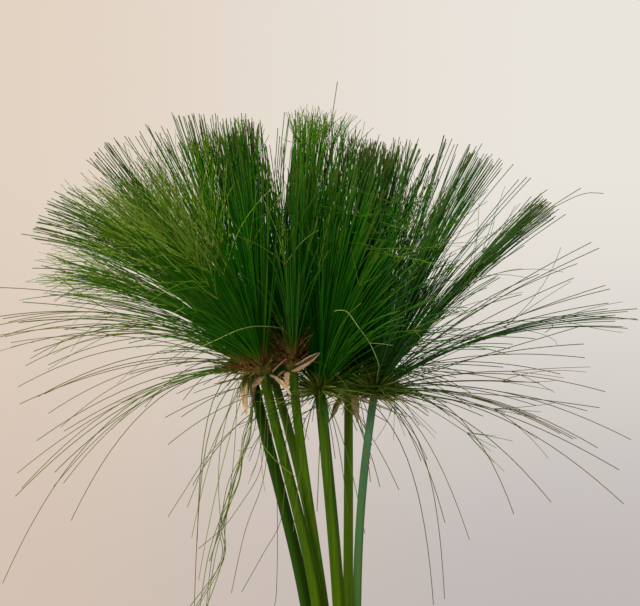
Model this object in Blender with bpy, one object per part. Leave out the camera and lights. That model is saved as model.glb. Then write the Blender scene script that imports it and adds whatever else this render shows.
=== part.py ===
"""A papyrus in a plain round pot: seven three-sided stems on one knobbly rootstock.

Metres, +Z up, the front towards -Y. The origin is the middle of the flat foot that the pot stands on.
Each stem ends in an umbel, a knob that carries a mop of long thin rays, with dry brown bracts under it.
"""

import math
import random

import bmesh
import bpy
from mathutils import Matrix, Vector
from mathutils.geometry import interpolate_bezier
from mathutils.kdtree import KDTree

# Touching pieces keep this much room between them.
GAP = 0.0003

# The pot, turned about its own axis.
POT_SIDES = 40
POT_HEIGHT = 0.190
POT_FOOT_RADIUS = 0.088
POT_RIM_RADIUS = 0.127
POT_RIM_BAND = 0.028
POT_RIM_STEP = 0.005
POT_WALL = 0.007
POT_FLOOR = 0.012
POT_EDGE = 0.003

# The soil stands a little below the rim, to leave room for water.
SOIL_TOP = 0.162
SOIL_MOUND = 0.004
SOIL_RING_SHARES = (0.92, 0.62, 0.3)
SOIL_LUMP = 0.0012

# The rootstock: one knob under each stem, half sunk in the soil.
KNOB_RADII = Vector((0.0150, 0.0150, 0.0135))
SOCKET_DEPTH = 0.010
SOCKET_SIDES = 12
RUNNER_CENTRE = Vector((0.040, -0.014, SOIL_TOP))
RUNNER_RADII = Vector((0.021, 0.0115, 0.0105))
RUNNER_TURN = 33

# Stems: rounded triangles in section, thicker towards the root.
STEM_SIDES = 9
STEM_STEPS = 8
STEM_CORNER = 0.11
STEM_BASE_SWELL = 1.28
STEM_BASE_RISE = 0.120
STEM_TOP_RISE = 0.140
STEM_FOOT = SOIL_TOP + 0.006

# Papery sheaths wrap the foot of each stem and end in a slanting mouth.
SHEATH_WALL = 0.0009
SHEATH_GAP = 0.0004
SHEATH_LOW_SHARE = 0.12

# The umbel: a knob, cut flat underneath, and its rays, three-sided and half as wide at the tip.
HUB_RADIUS = 0.0080
HUB_CUT = 0.0050
RAY_STEP = 0.005
RAY_ROOT_SIZE = 0.0030
RAY_BASE_SIZE = 0.0014
RAY_TIP_SIZE = 0.0007
RAY_SAG = 6.5
LOW_RAY_SAG = 4.6

# A ray has two straight runs, and one more for each step of its bend.
STEP_OF_BEND = math.radians(30)
RAY_KNOT_SPACING = 1.35

# Most rays are lifted towards the way that the umbel points. A share of the lowest ones hang out free.
UPRIGHT_LIFT = 0.9
LOW_RAY_LIFT = 0.12
LOW_RAY_SPREAD = math.radians(68)
LOW_RAY_SHARE = 0.34

# The umbels lean apart and leave a parting, this far to the side, with no upright rays in it.
PARTING = -0.064
PARTING_HALF_WIDTH = 0.012
TURNED_BACK = 0.5

# Rays keep this much room to all else. Inside the crowd round their own knob they may touch.
RAY_ROOM = 0.0009
RAY_SAMPLE = 0.0025
RAY_ROOT_CROWD = 0.035
WIDEST_PIECE = 0.010
NUDGES_DEG = (0, 4, -4, 8, -8, 12, -12, 16, -16)
GROWING_ORDER = (5, 1, 7, 4, 2, 6, 3)

# Bracts: stiff lance-shaped blades, cupped along the middle.
BRACT_STEPS = 4
BRACT_THICKNESS = 0.0014
BRACT_CUP = 0.16
BRACT_START = 0.0020
BRACT_DROP = 0.0011

# Each stem, from the left: where its foot stands, the middle of its umbel's knob, how its top leans
# (sideways and back, per unit of height), how far it bows to the right halfway up, its radius under the
# umbel, the turn of its three corners in degrees, and how far up the stem's second step its sheath
# reaches. Then its umbel: the way it points, how far its rays spread in degrees, and their length.
STEMS = {
    1: dict(foot=(-0.020, 0.003), hub=(-0.0900, 0.005, 0.5560), lean=(-0.215, 0.02), bow=0.0025,
            radius=0.0052, turn=26, sheath=0.62, aim=(-0.34, 0.00, 0.94), spread=108, length=0.262),
    2: dict(foot=(-0.012, -0.017), hub=(-0.0755, -0.040, 0.5580), lean=(-0.21, -0.10), bow=0.0045,
            radius=0.0047, turn=55, sheath=0.42, aim=(-0.20, -0.42, 0.88), spread=104, length=0.258),
    3: dict(foot=(-0.010, 0.022), hub=(-0.0690, 0.050, 0.5470), lean=(-0.32, 0.12), bow=0.0,
            radius=0.0043, turn=25, sheath=0.80, aim=(-0.24, 0.45, 0.85), spread=104, length=0.255),
    4: dict(foot=(-0.003, -0.001), hub=(-0.0470, -0.028, 0.5620), lean=(-0.08, -0.09), bow=0.0,
            radius=0.0043, turn=80, sheath=0.50, aim=(0.10, -0.22, 0.97), spread=100, length=0.252),
    5: dict(foot=(0.004, -0.018), hub=(-0.0200, -0.012, 0.5350), lean=(-0.10, 0.00), bow=0.0,
            radius=0.0053, turn=40, sheath=0.90, aim=(0.06, -0.36, 0.92), spread=104, length=0.262),
    6: dict(foot=(0.008, 0.017), hub=(0.0095, 0.042, 0.5350), lean=(0.00, 0.12), bow=0.0,
            radius=0.0043, turn=42, sheath=0.36, aim=(0.16, 0.45, 0.86), spread=106, length=0.262),
    7: dict(foot=(0.018, 0.000), hub=(0.0350, 0.000, 0.5330), lean=(0.157, 0.01), bow=0.0,
            radius=0.0039, turn=70, sheath=0.56, aim=(0.42, -0.04, 0.90), spread=110, length=0.268),
}

# Rays that reach furthest, by umbel: heading in degrees (0 is +X, -90 is the front), angle from straight
# up at the knob, length, and sag. They set how far the plant spreads.
LONG_RAYS = {
    1: ((186, 86, 0.337, 8.6), (206, 88, 0.262, 6.5), (172, 65, 0.251, 4.2), (184, 27, 0.263, 8.1),
        (224, 86, 0.190, 34.0)),
    2: ((206, 95, 0.265, 30.0),),
    4: ((0, 10, 0.278, 0.0),),
    6: ((346, 90, 0.250, 22.0),),
    7: ((0, 48, 0.277, 5.4), (8, 79, 0.271, 4.6), (352, 86, 0.268, 5.1), (5, 31, 0.290, 4.6),
        (338, 95, 0.200, 19.0)),
}

# Bracts, by umbel: heading at the root and at the tip in degrees, slope at the root and at the tip in
# degrees above level, length and width. Slopes are taken against the stem's own top.
BRACTS = {
    1: ((158, 158, -8, 4, 0.036, 0.0078), (235, 235, -64, -76, 0.040, 0.0110),
        (112, 112, -15, 12, 0.040, 0.0075), (305, 305, -40, -62, 0.032, 0.0070)),
    2: ((10, 10, 38, 20, 0.021, 0.0045), (140, 140, -50, -72, 0.034, 0.0080),
        (255, 255, -18, 8, 0.038, 0.0075), (318, 318, -30, -60, 0.032, 0.0060)),
    3: ((60, 60, -10, 14, 0.036, 0.0075), (150, 150, -30, -60, 0.034, 0.0075),
        (235, 235, -55, -80, 0.030, 0.0070), (340, 340, -20, 6, 0.030, 0.0070)),
    4: ((285, 350, 4, 50, 0.046, 0.0105), (225, 225, -72, -88, 0.016, 0.0075),
        (174, 174, -20, -62, 0.016, 0.0080), (85, 85, -12, 10, 0.038, 0.0075)),
    5: ((285, 285, -66, -86, 0.030, 0.0070), (160, 160, -20, 6, 0.034, 0.0070),
        (98, 98, -18, 10, 0.036, 0.0075), (10, 10, -12, 12, 0.026, 0.0065)),
    6: ((205, 205, -58, -68, 0.032, 0.0085), (305, 305, -72, -82, 0.031, 0.0105),
        (30, 30, -10, 16, 0.038, 0.0075), (120, 120, -30, -55, 0.036, 0.0075)),
    7: ((150, 150, 8, 44, 0.026, 0.0065), (215, 215, -12, 10, 0.022, 0.0065),
        (335, 335, 0, 24, 0.030, 0.0070), (60, 60, -10, 10, 0.032, 0.0075)),
}


def clear_scene():
    for thing in list(bpy.data.objects):
        bpy.data.objects.remove(thing, do_unlink=True)


def finish(name, colour, roughness, metallic=0.0):
    material = bpy.data.materials.new(name)
    material.use_nodes = True
    shader = material.node_tree.nodes["Principled BSDF"]
    shader.inputs["Base Color"].default_value = (*colour, 1.0)
    shader.inputs["Roughness"].default_value = roughness
    shader.inputs["Metallic"].default_value = metallic
    return material


def object_of(name, bm, material=None, smooth_below=50):
    """The bmesh as a named object, with faces out and smooth shading on its round parts."""
    bmesh.ops.recalc_face_normals(bm, faces=bm.faces)
    mesh = bpy.data.meshes.new(name)
    bm.to_mesh(mesh)
    bm.free()
    mesh.shade_smooth()
    mesh.set_sharp_from_angle(angle=math.radians(smooth_below))
    thing = bpy.data.objects.new(name, mesh)
    bpy.context.scene.collection.objects.link(thing)
    if material:
        mesh.materials.append(material)
    return thing


def hide_as_cutter(thing):
    thing.hide_render = True
    thing.display_type = "WIRE"
    return thing


def add_boolean(thing, operation, other):
    modifier = thing.modifiers.new(f"{operation.lower()} {other.name}", "BOOLEAN")
    modifier.operation = operation
    modifier.object = other
    modifier.solver = "EXACT"


def joined_rings(bm, rings, closed_ends=True):
    """Skins a row of rings that have as many points each, and caps the first and the last."""
    loops = [[bm.verts.new(point) for point in ring] for ring in rings]
    for low, high in zip(loops, loops[1:]):
        count = len(low)
        for i in range(count):
            j = (i + 1) % count
            bm.faces.new((low[i], low[j], high[j], high[i]))
    if closed_ends:
        bm.faces.new(loops[0][::-1])
        bm.faces.new(loops[-1])
    return loops


# Pot and soil

def turned(profile):
    """A closed outline of (radius, height) points, first and last on the axis, spun into a solid."""
    bm = bmesh.new()
    verts = [bm.verts.new((radius, 0.0, height)) for radius, height in profile]
    edges = [bm.edges.new(pair) for pair in zip(verts, verts[1:])]
    bmesh.ops.spin(bm, geom=verts + edges, cent=(0, 0, 0), axis=(0, 0, 1), angle=math.tau,
                   steps=POT_SIDES, use_merge=True)
    bmesh.ops.remove_doubles(bm, verts=bm.verts, dist=1e-5)
    return bm


def pot_inner_radius(height):
    """The inside of the wall, a straight taper from the floor to the foot of the rim band."""
    outer_top = POT_RIM_RADIUS - POT_RIM_STEP
    share = height / (POT_HEIGHT - POT_RIM_BAND)
    return POT_FOOT_RADIUS + (outer_top - POT_FOOT_RADIUS) * min(share, 1.0) - POT_WALL


def make_pot(material):
    band_foot = POT_HEIGHT - POT_RIM_BAND
    inner_top = pot_inner_radius(band_foot)
    profile = [
        (0.0, 0.0),
        (POT_FOOT_RADIUS - POT_EDGE, 0.0),
        (POT_FOOT_RADIUS, POT_EDGE),
        (POT_RIM_RADIUS - POT_RIM_STEP, band_foot),
        (POT_RIM_RADIUS - POT_EDGE / 2, band_foot + POT_EDGE / 2),
        (POT_RIM_RADIUS, band_foot + POT_EDGE),
        (POT_RIM_RADIUS, POT_HEIGHT - POT_EDGE),
        (POT_RIM_RADIUS - POT_EDGE, POT_HEIGHT),
        (inner_top + POT_EDGE / 2, POT_HEIGHT),
        (inner_top, POT_HEIGHT - POT_EDGE / 2),
        (inner_top, band_foot),
        (pot_inner_radius(POT_FLOOR), POT_FLOOR),
        (0.0, POT_FLOOR),
    ]
    return object_of("pot", turned(profile), material)


def make_soil(material):
    """Fills the pot to the soil line, with a low mound and small lumps on top."""
    rim = pot_inner_radius(SOIL_TOP) - GAP
    foot_height = POT_FLOOR + GAP
    bm = turned([(0.0, foot_height), (pot_inner_radius(foot_height) - GAP, foot_height), (rim, SOIL_TOP)]
                + [(rim * share, SOIL_TOP + SOIL_MOUND * (1 - share)) for share in SOIL_RING_SHARES]
                + [(0.0, SOIL_TOP + SOIL_MOUND)])
    lumps = random.Random(4)
    for vert in bm.verts:
        if foot_height * 2 < vert.co.z and vert.co.xy.length < rim * SOIL_RING_SHARES[0] + GAP:
            vert.co.z += lumps.uniform(-SOIL_LUMP, SOIL_LUMP)
    return object_of("soil", bm, material)


# Stems and sheaths

def stem_line(stem):
    """The stem's middle line: straight up from its foot, then leaning out to its umbel."""
    foot = Vector((*stem["foot"], STEM_FOOT))
    slope = Vector((*stem["lean"], 1.0))
    tip = Vector(stem["hub"]) - slope.normalized() * (HUB_CUT + GAP)
    up = foot + Vector((0, 0, STEM_BASE_RISE))
    down = tip - slope * STEM_TOP_RISE
    line = interpolate_bezier(foot, up, down, tip, STEM_STEPS + 1)
    for step, point in enumerate(line):
        point.x += stem["bow"] * math.sin(math.pi * step / STEM_STEPS) ** 2
    return line


def section(centre, along, radius, turn):
    """The corners of a rounded triangle square to the stem."""
    across = (Vector((1, 0, 0)) - along * along.x).normalized()
    back = along.cross(across)
    ring = []
    for i in range(STEM_SIDES):
        angle = math.tau * i / STEM_SIDES
        reach = radius * (1 + STEM_CORNER * math.cos(3 * angle))
        facing = angle + math.radians(turn)
        ring.append(centre + (across * math.cos(facing) + back * math.sin(facing)) * reach)
    return ring


def stem_radius(stem, share):
    """The radius at this share of the way up."""
    return stem["radius"] * (STEM_BASE_SWELL + (1 - STEM_BASE_SWELL) * share)


def stem_ring(stem, line, step, extra=0.0):
    """The stem's outline at one of its steps, or a larger one round it."""
    along = (line[min(step + 1, STEM_STEPS)] - line[max(step - 1, 0)]).normalized()
    if step == 0:
        along = Vector((0, 0, 1))
    if step == STEM_STEPS:
        along = Vector((*stem["lean"], 1.0)).normalized()
    return section(line[step], along, stem_radius(stem, step / STEM_STEPS) + extra, stem["turn"])


def make_stem(number, stem, material):
    line = stem_line(stem)
    bm = bmesh.new()
    joined_rings(bm, [stem_ring(stem, line, step) for step in range(STEM_STEPS + 1)])
    return object_of(f"stem_{number}", bm, material)


def make_sheath(number, stem, material):
    """A thin sleeve round the stem's first two steps. Its mouth is cut on a slant, high on one side."""
    line = stem_line(stem)

    def wall(extra):
        low, middle, high = [stem_ring(stem, line, step, extra) for step in range(3)]
        mouth = []
        for i in range(STEM_SIDES):
            high_side = 0.5 + 0.5 * math.cos(math.tau * i / STEM_SIDES)
            share = SHEATH_LOW_SHARE + (stem["sheath"] - SHEATH_LOW_SHARE) * high_side
            mouth.append(middle[i].lerp(high[i], share))
        return [low, middle, mouth]

    outside, inside = wall(SHEATH_GAP + SHEATH_WALL), wall(SHEATH_GAP)
    bm = bmesh.new()
    loops = joined_rings(bm, outside + inside[::-1], closed_ends=False)
    first, last = loops[0], loops[-1]
    for i in range(STEM_SIDES):
        j = (i + 1) % STEM_SIDES
        bm.faces.new((first[i], last[i], last[j], first[j]))
    return object_of(f"sheath_{number}", bm, material)


# Rootstock

def lump(name, centre, radii, turn):
    bm = bmesh.new()
    bmesh.ops.create_icosphere(bm, subdivisions=2, radius=1.0)
    bmesh.ops.rotate(bm, cent=(0, 0, 0), matrix=Matrix.Rotation(math.radians(turn), 3, (0.3, 0.2, 1.0)),
                     verts=bm.verts)
    bmesh.ops.scale(bm, vec=radii, verts=bm.verts)
    bmesh.ops.translate(bm, vec=centre, verts=bm.verts)
    return object_of(name, bm)


def joined_knobs(name, grow):
    """One knob for each stem and one for the runner as a single body, larger than life by grow."""
    extra = Vector((grow, grow, grow))
    body = lump(name, RUNNER_CENTRE, RUNNER_RADII + extra, RUNNER_TURN)
    for number, stem in STEMS.items():
        centre = Vector((*stem["foot"], SOIL_TOP))
        knob = lump(f"{name}_knob_{number}", centre, KNOB_RADII + extra, stem["turn"])
        add_boolean(body, "UNION", hide_as_cutter(knob))
    return body


def make_rootstock(material):
    """The knobs as one body, with a socket for the foot of each stem."""
    rootstock = joined_knobs("rootstock", 0.0)
    rootstock.data.materials.append(material)
    for number, stem in STEMS.items():
        corner = (stem_radius(stem, 0) + SHEATH_GAP + SHEATH_WALL) * (1 + STEM_CORNER)
        radius = (corner + GAP) / math.cos(math.pi / SOCKET_SIDES)
        bm = bmesh.new()
        bmesh.ops.create_cone(bm, cap_ends=True, segments=SOCKET_SIDES, radius1=radius, radius2=radius,
                              depth=2 * SOCKET_DEPTH)
        centre = Vector((*stem["foot"], STEM_FOOT - GAP + SOCKET_DEPTH))
        bmesh.ops.translate(bm, vec=centre, verts=bm.verts)
        add_boolean(rootstock, "DIFFERENCE", hide_as_cutter(object_of(f"socket_{number}", bm)))
    return rootstock


def sink_rootstock(soil):
    """Presses the rootstock's own shape into the soil, with room for the two not to touch."""
    add_boolean(soil, "DIFFERENCE", hide_as_cutter(joined_knobs("hollow", GAP * 1.6)))


# Bracts

def outward(axis, heading):
    """The way out from a stem at this heading, square to the stem."""
    level = Vector((math.cos(math.radians(heading)), math.sin(math.radians(heading)), 0.0))
    return (level - axis * level.dot(axis)).normalized()


def bract_line(stem, root_heading, tip_heading, root_slope, tip_slope, length):
    """Points, ways across and ways up of a bract that starts beside the top of its stem."""
    axis = Vector((*stem["lean"], 1.0)).normalized()
    start = stem["radius"] * (1 + STEM_CORNER) + BRACT_START
    point = Vector(stem["hub"]) - axis * (HUB_CUT + BRACT_DROP) + outward(axis, root_heading) * start
    rows = []
    for step in range(BRACT_STEPS + 1):
        share = step / BRACT_STEPS
        out = outward(axis, root_heading + (tip_heading - root_heading) * share)
        side = out.cross(axis)
        slope = math.radians(root_slope + (tip_slope - root_slope) * share)
        along = out * math.cos(slope) + axis * math.sin(slope)
        rows.append((point.copy(), side, side.cross(along)))
        point += along * length / BRACT_STEPS
    return rows


def bract_width(share):
    """A lance shape: widest before the middle, three quarters of that at the root, drawn out to the tip."""
    return (1 - share) ** 0.75 * (0.62 + 1.5 * share) + 0.06


def make_bract(name, stem, shape, material):
    *course, width = shape
    rings = []
    for step, (point, side, up) in enumerate(bract_line(stem, *course)):
        half = width / 2 * bract_width(step / BRACT_STEPS)
        thick = up * BRACT_THICKNESS / 2 * (1 - 0.5 * step / BRACT_STEPS)
        edge = up * half * 2 * BRACT_CUP
        rings.append((point - side * half + edge, point - thick, point + side * half + edge, point + thick))
    bm = bmesh.new()
    joined_rings(bm, rings)
    return object_of(name, bm, material)


def bract_samples(stem, shape):
    """Points all over a bract, for keeping rays clear of it."""
    samples = []
    *course, width = shape
    rows = bract_line(stem, *course)
    for across in (-1.0, -0.5, 0.0, 0.5, 1.0):
        line = []
        for step, (point, side, up) in enumerate(rows):
            half = width / 2 * bract_width(step / BRACT_STEPS)
            line.append(point + side * half * across + up * half * 2 * BRACT_CUP * abs(across))
        samples += samples_along(line, [BRACT_THICKNESS / 2] * len(line))
    return samples


# Umbels

def ray_line(start, way, length, sag):
    """A ray's middle line: a springy stalk that its own weight bends most near the root."""
    points, point, along = [start.copy()], start.copy(), way.normalized()
    steps = round(length / RAY_STEP)
    for step in range(steps):
        left = 1 - step / steps
        fall = Vector((0, 0, -1)) - along * -along.z
        along = (along + fall * sag * left * RAY_STEP).normalized()
        point = point + along * RAY_STEP
        points.append(point.copy())
    return points


class Room:
    """Remembers the space that pieces already take, to keep a new ray clear of them."""

    def __init__(self):
        self.taken = []
        self.tree = KDTree(0)
        self.tree.balance()

    def add(self, samples):
        self.taken += samples
        self.tree = KDTree(len(self.taken))
        for index, (point, _) in enumerate(self.taken):
            self.tree.insert(point, index)
        self.tree.balance()

    def is_free(self, samples):
        for point, size in samples:
            for _, index, distance in self.tree.find_range(point, size + WIDEST_PIECE):
                if distance < size + self.taken[index][1] + RAY_ROOM:
                    return False
        return True


def samples_along(points, sizes):
    """Points at even small steps along a bent line, each with the half width there."""
    samples = []
    for a, b, size_a, size_b in zip(points, points[1:], sizes, sizes[1:]):
        count = max(1, math.ceil((b - a).length / RAY_SAMPLE))
        for i in range(count):
            share = i / count
            samples.append((a.lerp(b, share), size_a + (size_b - size_a) * share))
    return samples + [(points[-1], sizes[-1])]


def clears_knobs(samples, own_number):
    others = [Vector(stem["hub"]) for number, stem in STEMS.items() if number != own_number]
    reach = HUB_RADIUS + RAY_ROOM
    return all((point - knob).length > reach + size for point, size in samples for knob in others)


def parted(way, hub, length):
    """The clump parts in two like hair. A ray that would cross the parting is turned back from it."""
    side = math.copysign(1.0, hub.x - PARTING)
    limit = (PARTING + side * PARTING_HALF_WIDTH - hub.x) / length
    over = (way.x - limit) * side
    if over >= 0:
        return way
    return Vector((limit - side * over * TURNED_BACK, way.y, way.z)).normalized()


def heading_way(heading, from_up):
    heading, from_up = math.radians(heading), math.radians(from_up)
    return Vector((math.cos(heading) * math.sin(from_up), math.sin(heading) * math.sin(from_up),
                   math.cos(from_up)))


def nudges(way):
    """The way itself and others near it, the nearest first, to try when something stands in it."""
    sideways = way.cross(Vector((0, 0, 1)))
    if sideways.length < 0.01:
        sideways = Vector((1, 0, 0))
    pairs = [(turn, tilt) for turn in NUDGES_DEG for tilt in NUDGES_DEG]
    for turn, tilt in sorted(pairs, key=lambda pair: pair[0] ** 2 + pair[1] ** 2):
        spin = Matrix.Rotation(math.radians(turn), 3, "Z")
        yield spin @ (Matrix.Rotation(math.radians(tilt), 3, sideways) @ way)


def ray_plans(number, stem, hub_bm, draw):
    """Pairs each face of the knob with the line of the ray that grows from it."""
    hub, aim = Vector(stem["hub"]), Vector(stem["aim"]).normalized()
    lean = Vector((*stem["lean"], 1.0)).normalized()
    spread = math.radians(stem["spread"])
    faces = [face for face in hub_bm.faces if len(face.verts) == 3 and face.normal.angle(lean) < spread]
    for heading, from_up, length, sag in LONG_RAYS.get(number, ()):
        way = heading_way(heading, from_up)
        face = min(faces, key=lambda item: item.normal.angle(way))
        faces.remove(face)
        yield face, [(nudged, length, sag) for nudged in nudges(way)]
    for face in sorted(faces, key=lambda item: item.normal.angle(aim)):
        length = stem["length"] * draw.uniform(0.90, 1.0)
        low = face.normal.angle(aim) > LOW_RAY_SPREAD and draw.random() < LOW_RAY_SHARE
        way = (face.normal + aim * (LOW_RAY_LIFT if low else UPRIGHT_LIFT)).normalized()
        if not low:
            way = parted(way, hub, length)
        yield face, [(nudged, length, LOW_RAY_SAG if low else RAY_SAG) for nudged in nudges(way)]


def ray_knots(line):
    """The places of a ray's bends with the half width at each. Straight rays need fewer."""
    bend = (line[-1] - line[-3]).angle(line[2] - line[0])
    count, last = 2 + round(bend / STEP_OF_BEND), len(line) - 1
    places = [max(1, round(last * ((step + 1) / count) ** RAY_KNOT_SPACING)) for step in range(count)]
    sizes = [RAY_BASE_SIZE + (RAY_TIP_SIZE - RAY_BASE_SIZE) * place / last for place in places]
    return places, sizes


def grow_ray(bm, face, line):
    """Extrudes one face of the knob along the line, tapering."""
    root, normal = face.calc_center_median(), face.normal.copy()
    spokes = [(vert.co - root).normalized() for vert in face.verts]
    for place, size in zip(*ray_knots(line)):
        along = (line[place] - line[place - 1]).normalized()
        face = bmesh.ops.extrude_discrete_faces(bm, faces=[face])["faces"][0]
        swing = normal.rotation_difference(along)
        for vert, spoke in zip(face.verts, spokes):
            vert.co = line[place] + (swing @ spoke) * size


def cut_knob(stem, turn):
    """The umbel's knob, cut flat square to the stem that it sits on."""
    hub, lean = Vector(stem["hub"]), Vector((*stem["lean"], 1.0)).normalized()
    bm = bmesh.new()
    bmesh.ops.create_icosphere(bm, subdivisions=2, radius=HUB_RADIUS)
    place = Matrix.Translation(hub) @ Matrix.Rotation(turn, 4, "Z")
    bmesh.ops.transform(bm, matrix=place, verts=bm.verts)
    cut = bmesh.ops.bisect_plane(bm, geom=bm.verts[:] + bm.edges[:] + bm.faces[:], dist=1e-6,
                                 plane_co=hub - lean * HUB_CUT, plane_no=lean, clear_inner=True)
    rim = [item for item in cut["geom_cut"] if isinstance(item, bmesh.types.BMEdge)]
    bmesh.ops.holes_fill(bm, edges=rim)
    bmesh.ops.recalc_face_normals(bm, faces=bm.faces)
    bm.normal_update()
    return bm


def make_umbel(number, stem, room, material):
    """The knob with every ray that finds room."""
    draw = random.Random(number)
    hub = Vector(stem["hub"])
    bm = cut_knob(stem, draw.uniform(0, math.tau))
    grown, own, filled = [], Room(), []
    for face, choices in list(ray_plans(number, stem, bm, draw)):
        for way, length, sag in choices:
            line = ray_line(face.calc_center_median(), way, length, sag)
            places, sizes = ray_knots(line)
            samples = samples_along([line[0]] + [line[place] for place in places], [RAY_ROOT_SIZE] + sizes)
            outer = [sample for sample in samples if (sample[0] - hub).length > RAY_ROOT_CROWD]
            if clears_knobs(samples, number) and room.is_free(samples) and own.is_free(outer):
                grown.append((face, line))
                own.add(outer)
                filled += samples
                break
    for face, line in grown:
        grow_ray(bm, face, line)
    room.add(filled)
    return object_of(f"umbel_{number}", bm, material, smooth_below=70)


def build():
    clear_scene()
    glaze = finish("pot_glaze", (0.62, 0.57, 0.49), 0.45)
    earth = finish("soil", (0.045, 0.030, 0.020), 0.95)
    root = finish("rootstock", (0.19, 0.12, 0.07), 0.8)
    green = finish("stem_green", (0.07, 0.22, 0.025), 0.4)
    rays = finish("ray_green", (0.045, 0.20, 0.02), 0.5)
    husk = finish("dry_bract", (0.46, 0.27, 0.14), 0.7)
    papery = finish("sheath", (0.27, 0.16, 0.08), 0.75)

    make_pot(glaze)
    soil = make_soil(earth)
    make_rootstock(root)
    sink_rootstock(soil)

    room = Room()
    for number, stem in STEMS.items():
        make_stem(number, stem, green)
        make_sheath(number, stem, papery)
        line = stem_line(stem)
        sizes = [stem_radius(stem, i / len(line)) * (1 + STEM_CORNER) for i in range(len(line))]
        room.add(samples_along(line, sizes))
        for index, shape in enumerate(BRACTS[number], start=1):
            make_bract(f"bract_{number}_{index}", stem, shape, husk)
            room.add(bract_samples(stem, shape))
    for number in GROWING_ORDER:
        make_umbel(number, STEMS[number], room, rays)


build()
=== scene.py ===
import math
import random

import bmesh
import bpy
from mathutils import Matrix, Vector, noise
from mathutils.geometry import interpolate_bezier
from mathutils.kdtree import KDTree


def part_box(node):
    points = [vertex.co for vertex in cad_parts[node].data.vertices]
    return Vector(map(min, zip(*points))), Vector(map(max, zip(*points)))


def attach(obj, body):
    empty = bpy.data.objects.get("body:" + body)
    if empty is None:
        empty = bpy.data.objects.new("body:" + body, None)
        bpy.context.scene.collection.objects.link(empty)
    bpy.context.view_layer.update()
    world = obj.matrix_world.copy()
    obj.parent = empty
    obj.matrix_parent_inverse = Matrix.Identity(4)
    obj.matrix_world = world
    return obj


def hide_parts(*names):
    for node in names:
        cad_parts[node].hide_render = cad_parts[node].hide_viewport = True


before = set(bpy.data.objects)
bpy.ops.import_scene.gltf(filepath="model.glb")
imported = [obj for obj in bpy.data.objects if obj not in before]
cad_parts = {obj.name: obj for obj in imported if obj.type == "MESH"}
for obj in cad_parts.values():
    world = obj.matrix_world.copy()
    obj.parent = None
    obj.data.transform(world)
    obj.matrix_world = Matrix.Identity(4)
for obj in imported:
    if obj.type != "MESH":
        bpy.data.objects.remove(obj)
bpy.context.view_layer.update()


# The pot
# A plain stoneware pot, thrown on a wheel. The wall tapers to a flat foot, and the rim is a raised band.
# It is dipped in a pale satin glaze that stops short of the foot, where the bare clay shows.

POT_TURNS = 144
POT_FOOT_RADIUS = 0.088
POT_RIM_BAND = 0.028
POT_RIM_STEP = 0.005
POT_WALL = 0.007
POT_FLOOR = 0.012
POT_CORNER = 0.0035
THROWING_RING = 0.00022
THROWING_RING_SPACING = 0.0062
GLAZE_LINE = 0.0065
GLAZE_WAVER = 0.004
GLAZE_ROUGHNESS = 0.36
CLAY_ROUGHNESS = 0.85
OUTLINE_SPACING = 0.0016
SHARP_EDGE = math.radians(62)
POT_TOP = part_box("pot")[1]
POT_HEIGHT = POT_TOP.z
POT_RIM_RADIUS = POT_TOP.x

GLAZE_PALE = (0.66, 0.61, 0.52, 1)
GLAZE_THIN = (0.50, 0.43, 0.33, 1)
GLAZE_SPECK = (0.16, 0.10, 0.06, 1)
BARE_CLAY = (0.36, 0.25, 0.17, 1)

# Patterns in a finish: how fine they are, per metre, the noise at which patches begin and are full, and
# for the specks how much finer detail they have.
GLAZE_POOLS = (14, 0.35, 0.70)
GLAZE_SPECKS = (620, 0.69, 0.73, 2.0)
GLAZE_WAVES = (26, 0.0, 1.0)
GLAZE_DIMPLES = (160, 0.2, 0.8)
GLAZE_DIMPLE_DEPTH = 0.0004


def feed(tree, socket, value):
    """Gives an input of a node a plain value, or another node's output."""
    if isinstance(value, bpy.types.NodeSocket):
        tree.links.new(value, socket)
    else:
        socket.default_value = value


def add_node(tree, kind, setting=None, **inputs):
    """A new node of a finish. In the names of its inputs, _ stands for a space."""
    made = tree.nodes.new(f"ShaderNode{kind}")
    for name, value in (setting or {}).items():
        setattr(made, name, value)
    for name, value in inputs.items():
        feed(tree, made.inputs[name.replace("_", " ")], value)
    return made


def new_finish(name, roughness, specular=0.5):
    """An empty finish, its node tree, and the place on the piece in metres."""
    finish = bpy.data.materials.new(name)
    finish.use_nodes = True
    tree = finish.node_tree
    shader = tree.nodes["Principled BSDF"]
    shader.inputs["Roughness"].default_value = roughness
    shader.inputs["Specular IOR Level"].default_value = specular
    place = tree.nodes.new("ShaderNodeTexCoord").outputs["Object"]
    return finish, tree, shader, place


def rising(tree, value, low, high, shape="LINEAR"):
    """0 up to low and 1 from high on. Where high is the smaller of the two, it falls instead."""
    step = add_node(tree, "MapRange", {"interpolation_type": shape}, Value=value)
    feed(tree, step.inputs["From Min"], low)
    feed(tree, step.inputs["From Max"], high)
    return step.outputs["Result"]


def patches(tree, place, scale, low, high, detail=4.0):
    """Soft patches of noise, this many a metre: 0 where the noise is below low, 1 above high."""
    cloud = add_node(tree, "TexNoise", Vector=place, Scale=scale, Detail=detail)
    return rising(tree, cloud.outputs["Fac"], low, high)


def blended(tree, share, first, second):
    """The first colour, going over to the second as share goes from 0 to 1."""
    mix = add_node(tree, "Mix", {"data_type": "RGBA"})
    for socket, value in ((mix.inputs[0], share), (mix.inputs[6], first), (mix.inputs[7], second)):
        feed(tree, socket, value)
    return mix.outputs[2]


def worked_out(tree, operation, first, second):
    """Simple arithmetic on two values of a finish."""
    result = add_node(tree, "Math", {"operation": operation})
    for socket, value in zip(result.inputs, (first, second)):
        feed(tree, socket, value)
    return result.outputs[0]


def measured(tree, name):
    """A number that the piece carries at each of its corners."""
    return add_node(tree, "Attribute", {"attribute_name": name}).outputs["Fac"]


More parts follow.
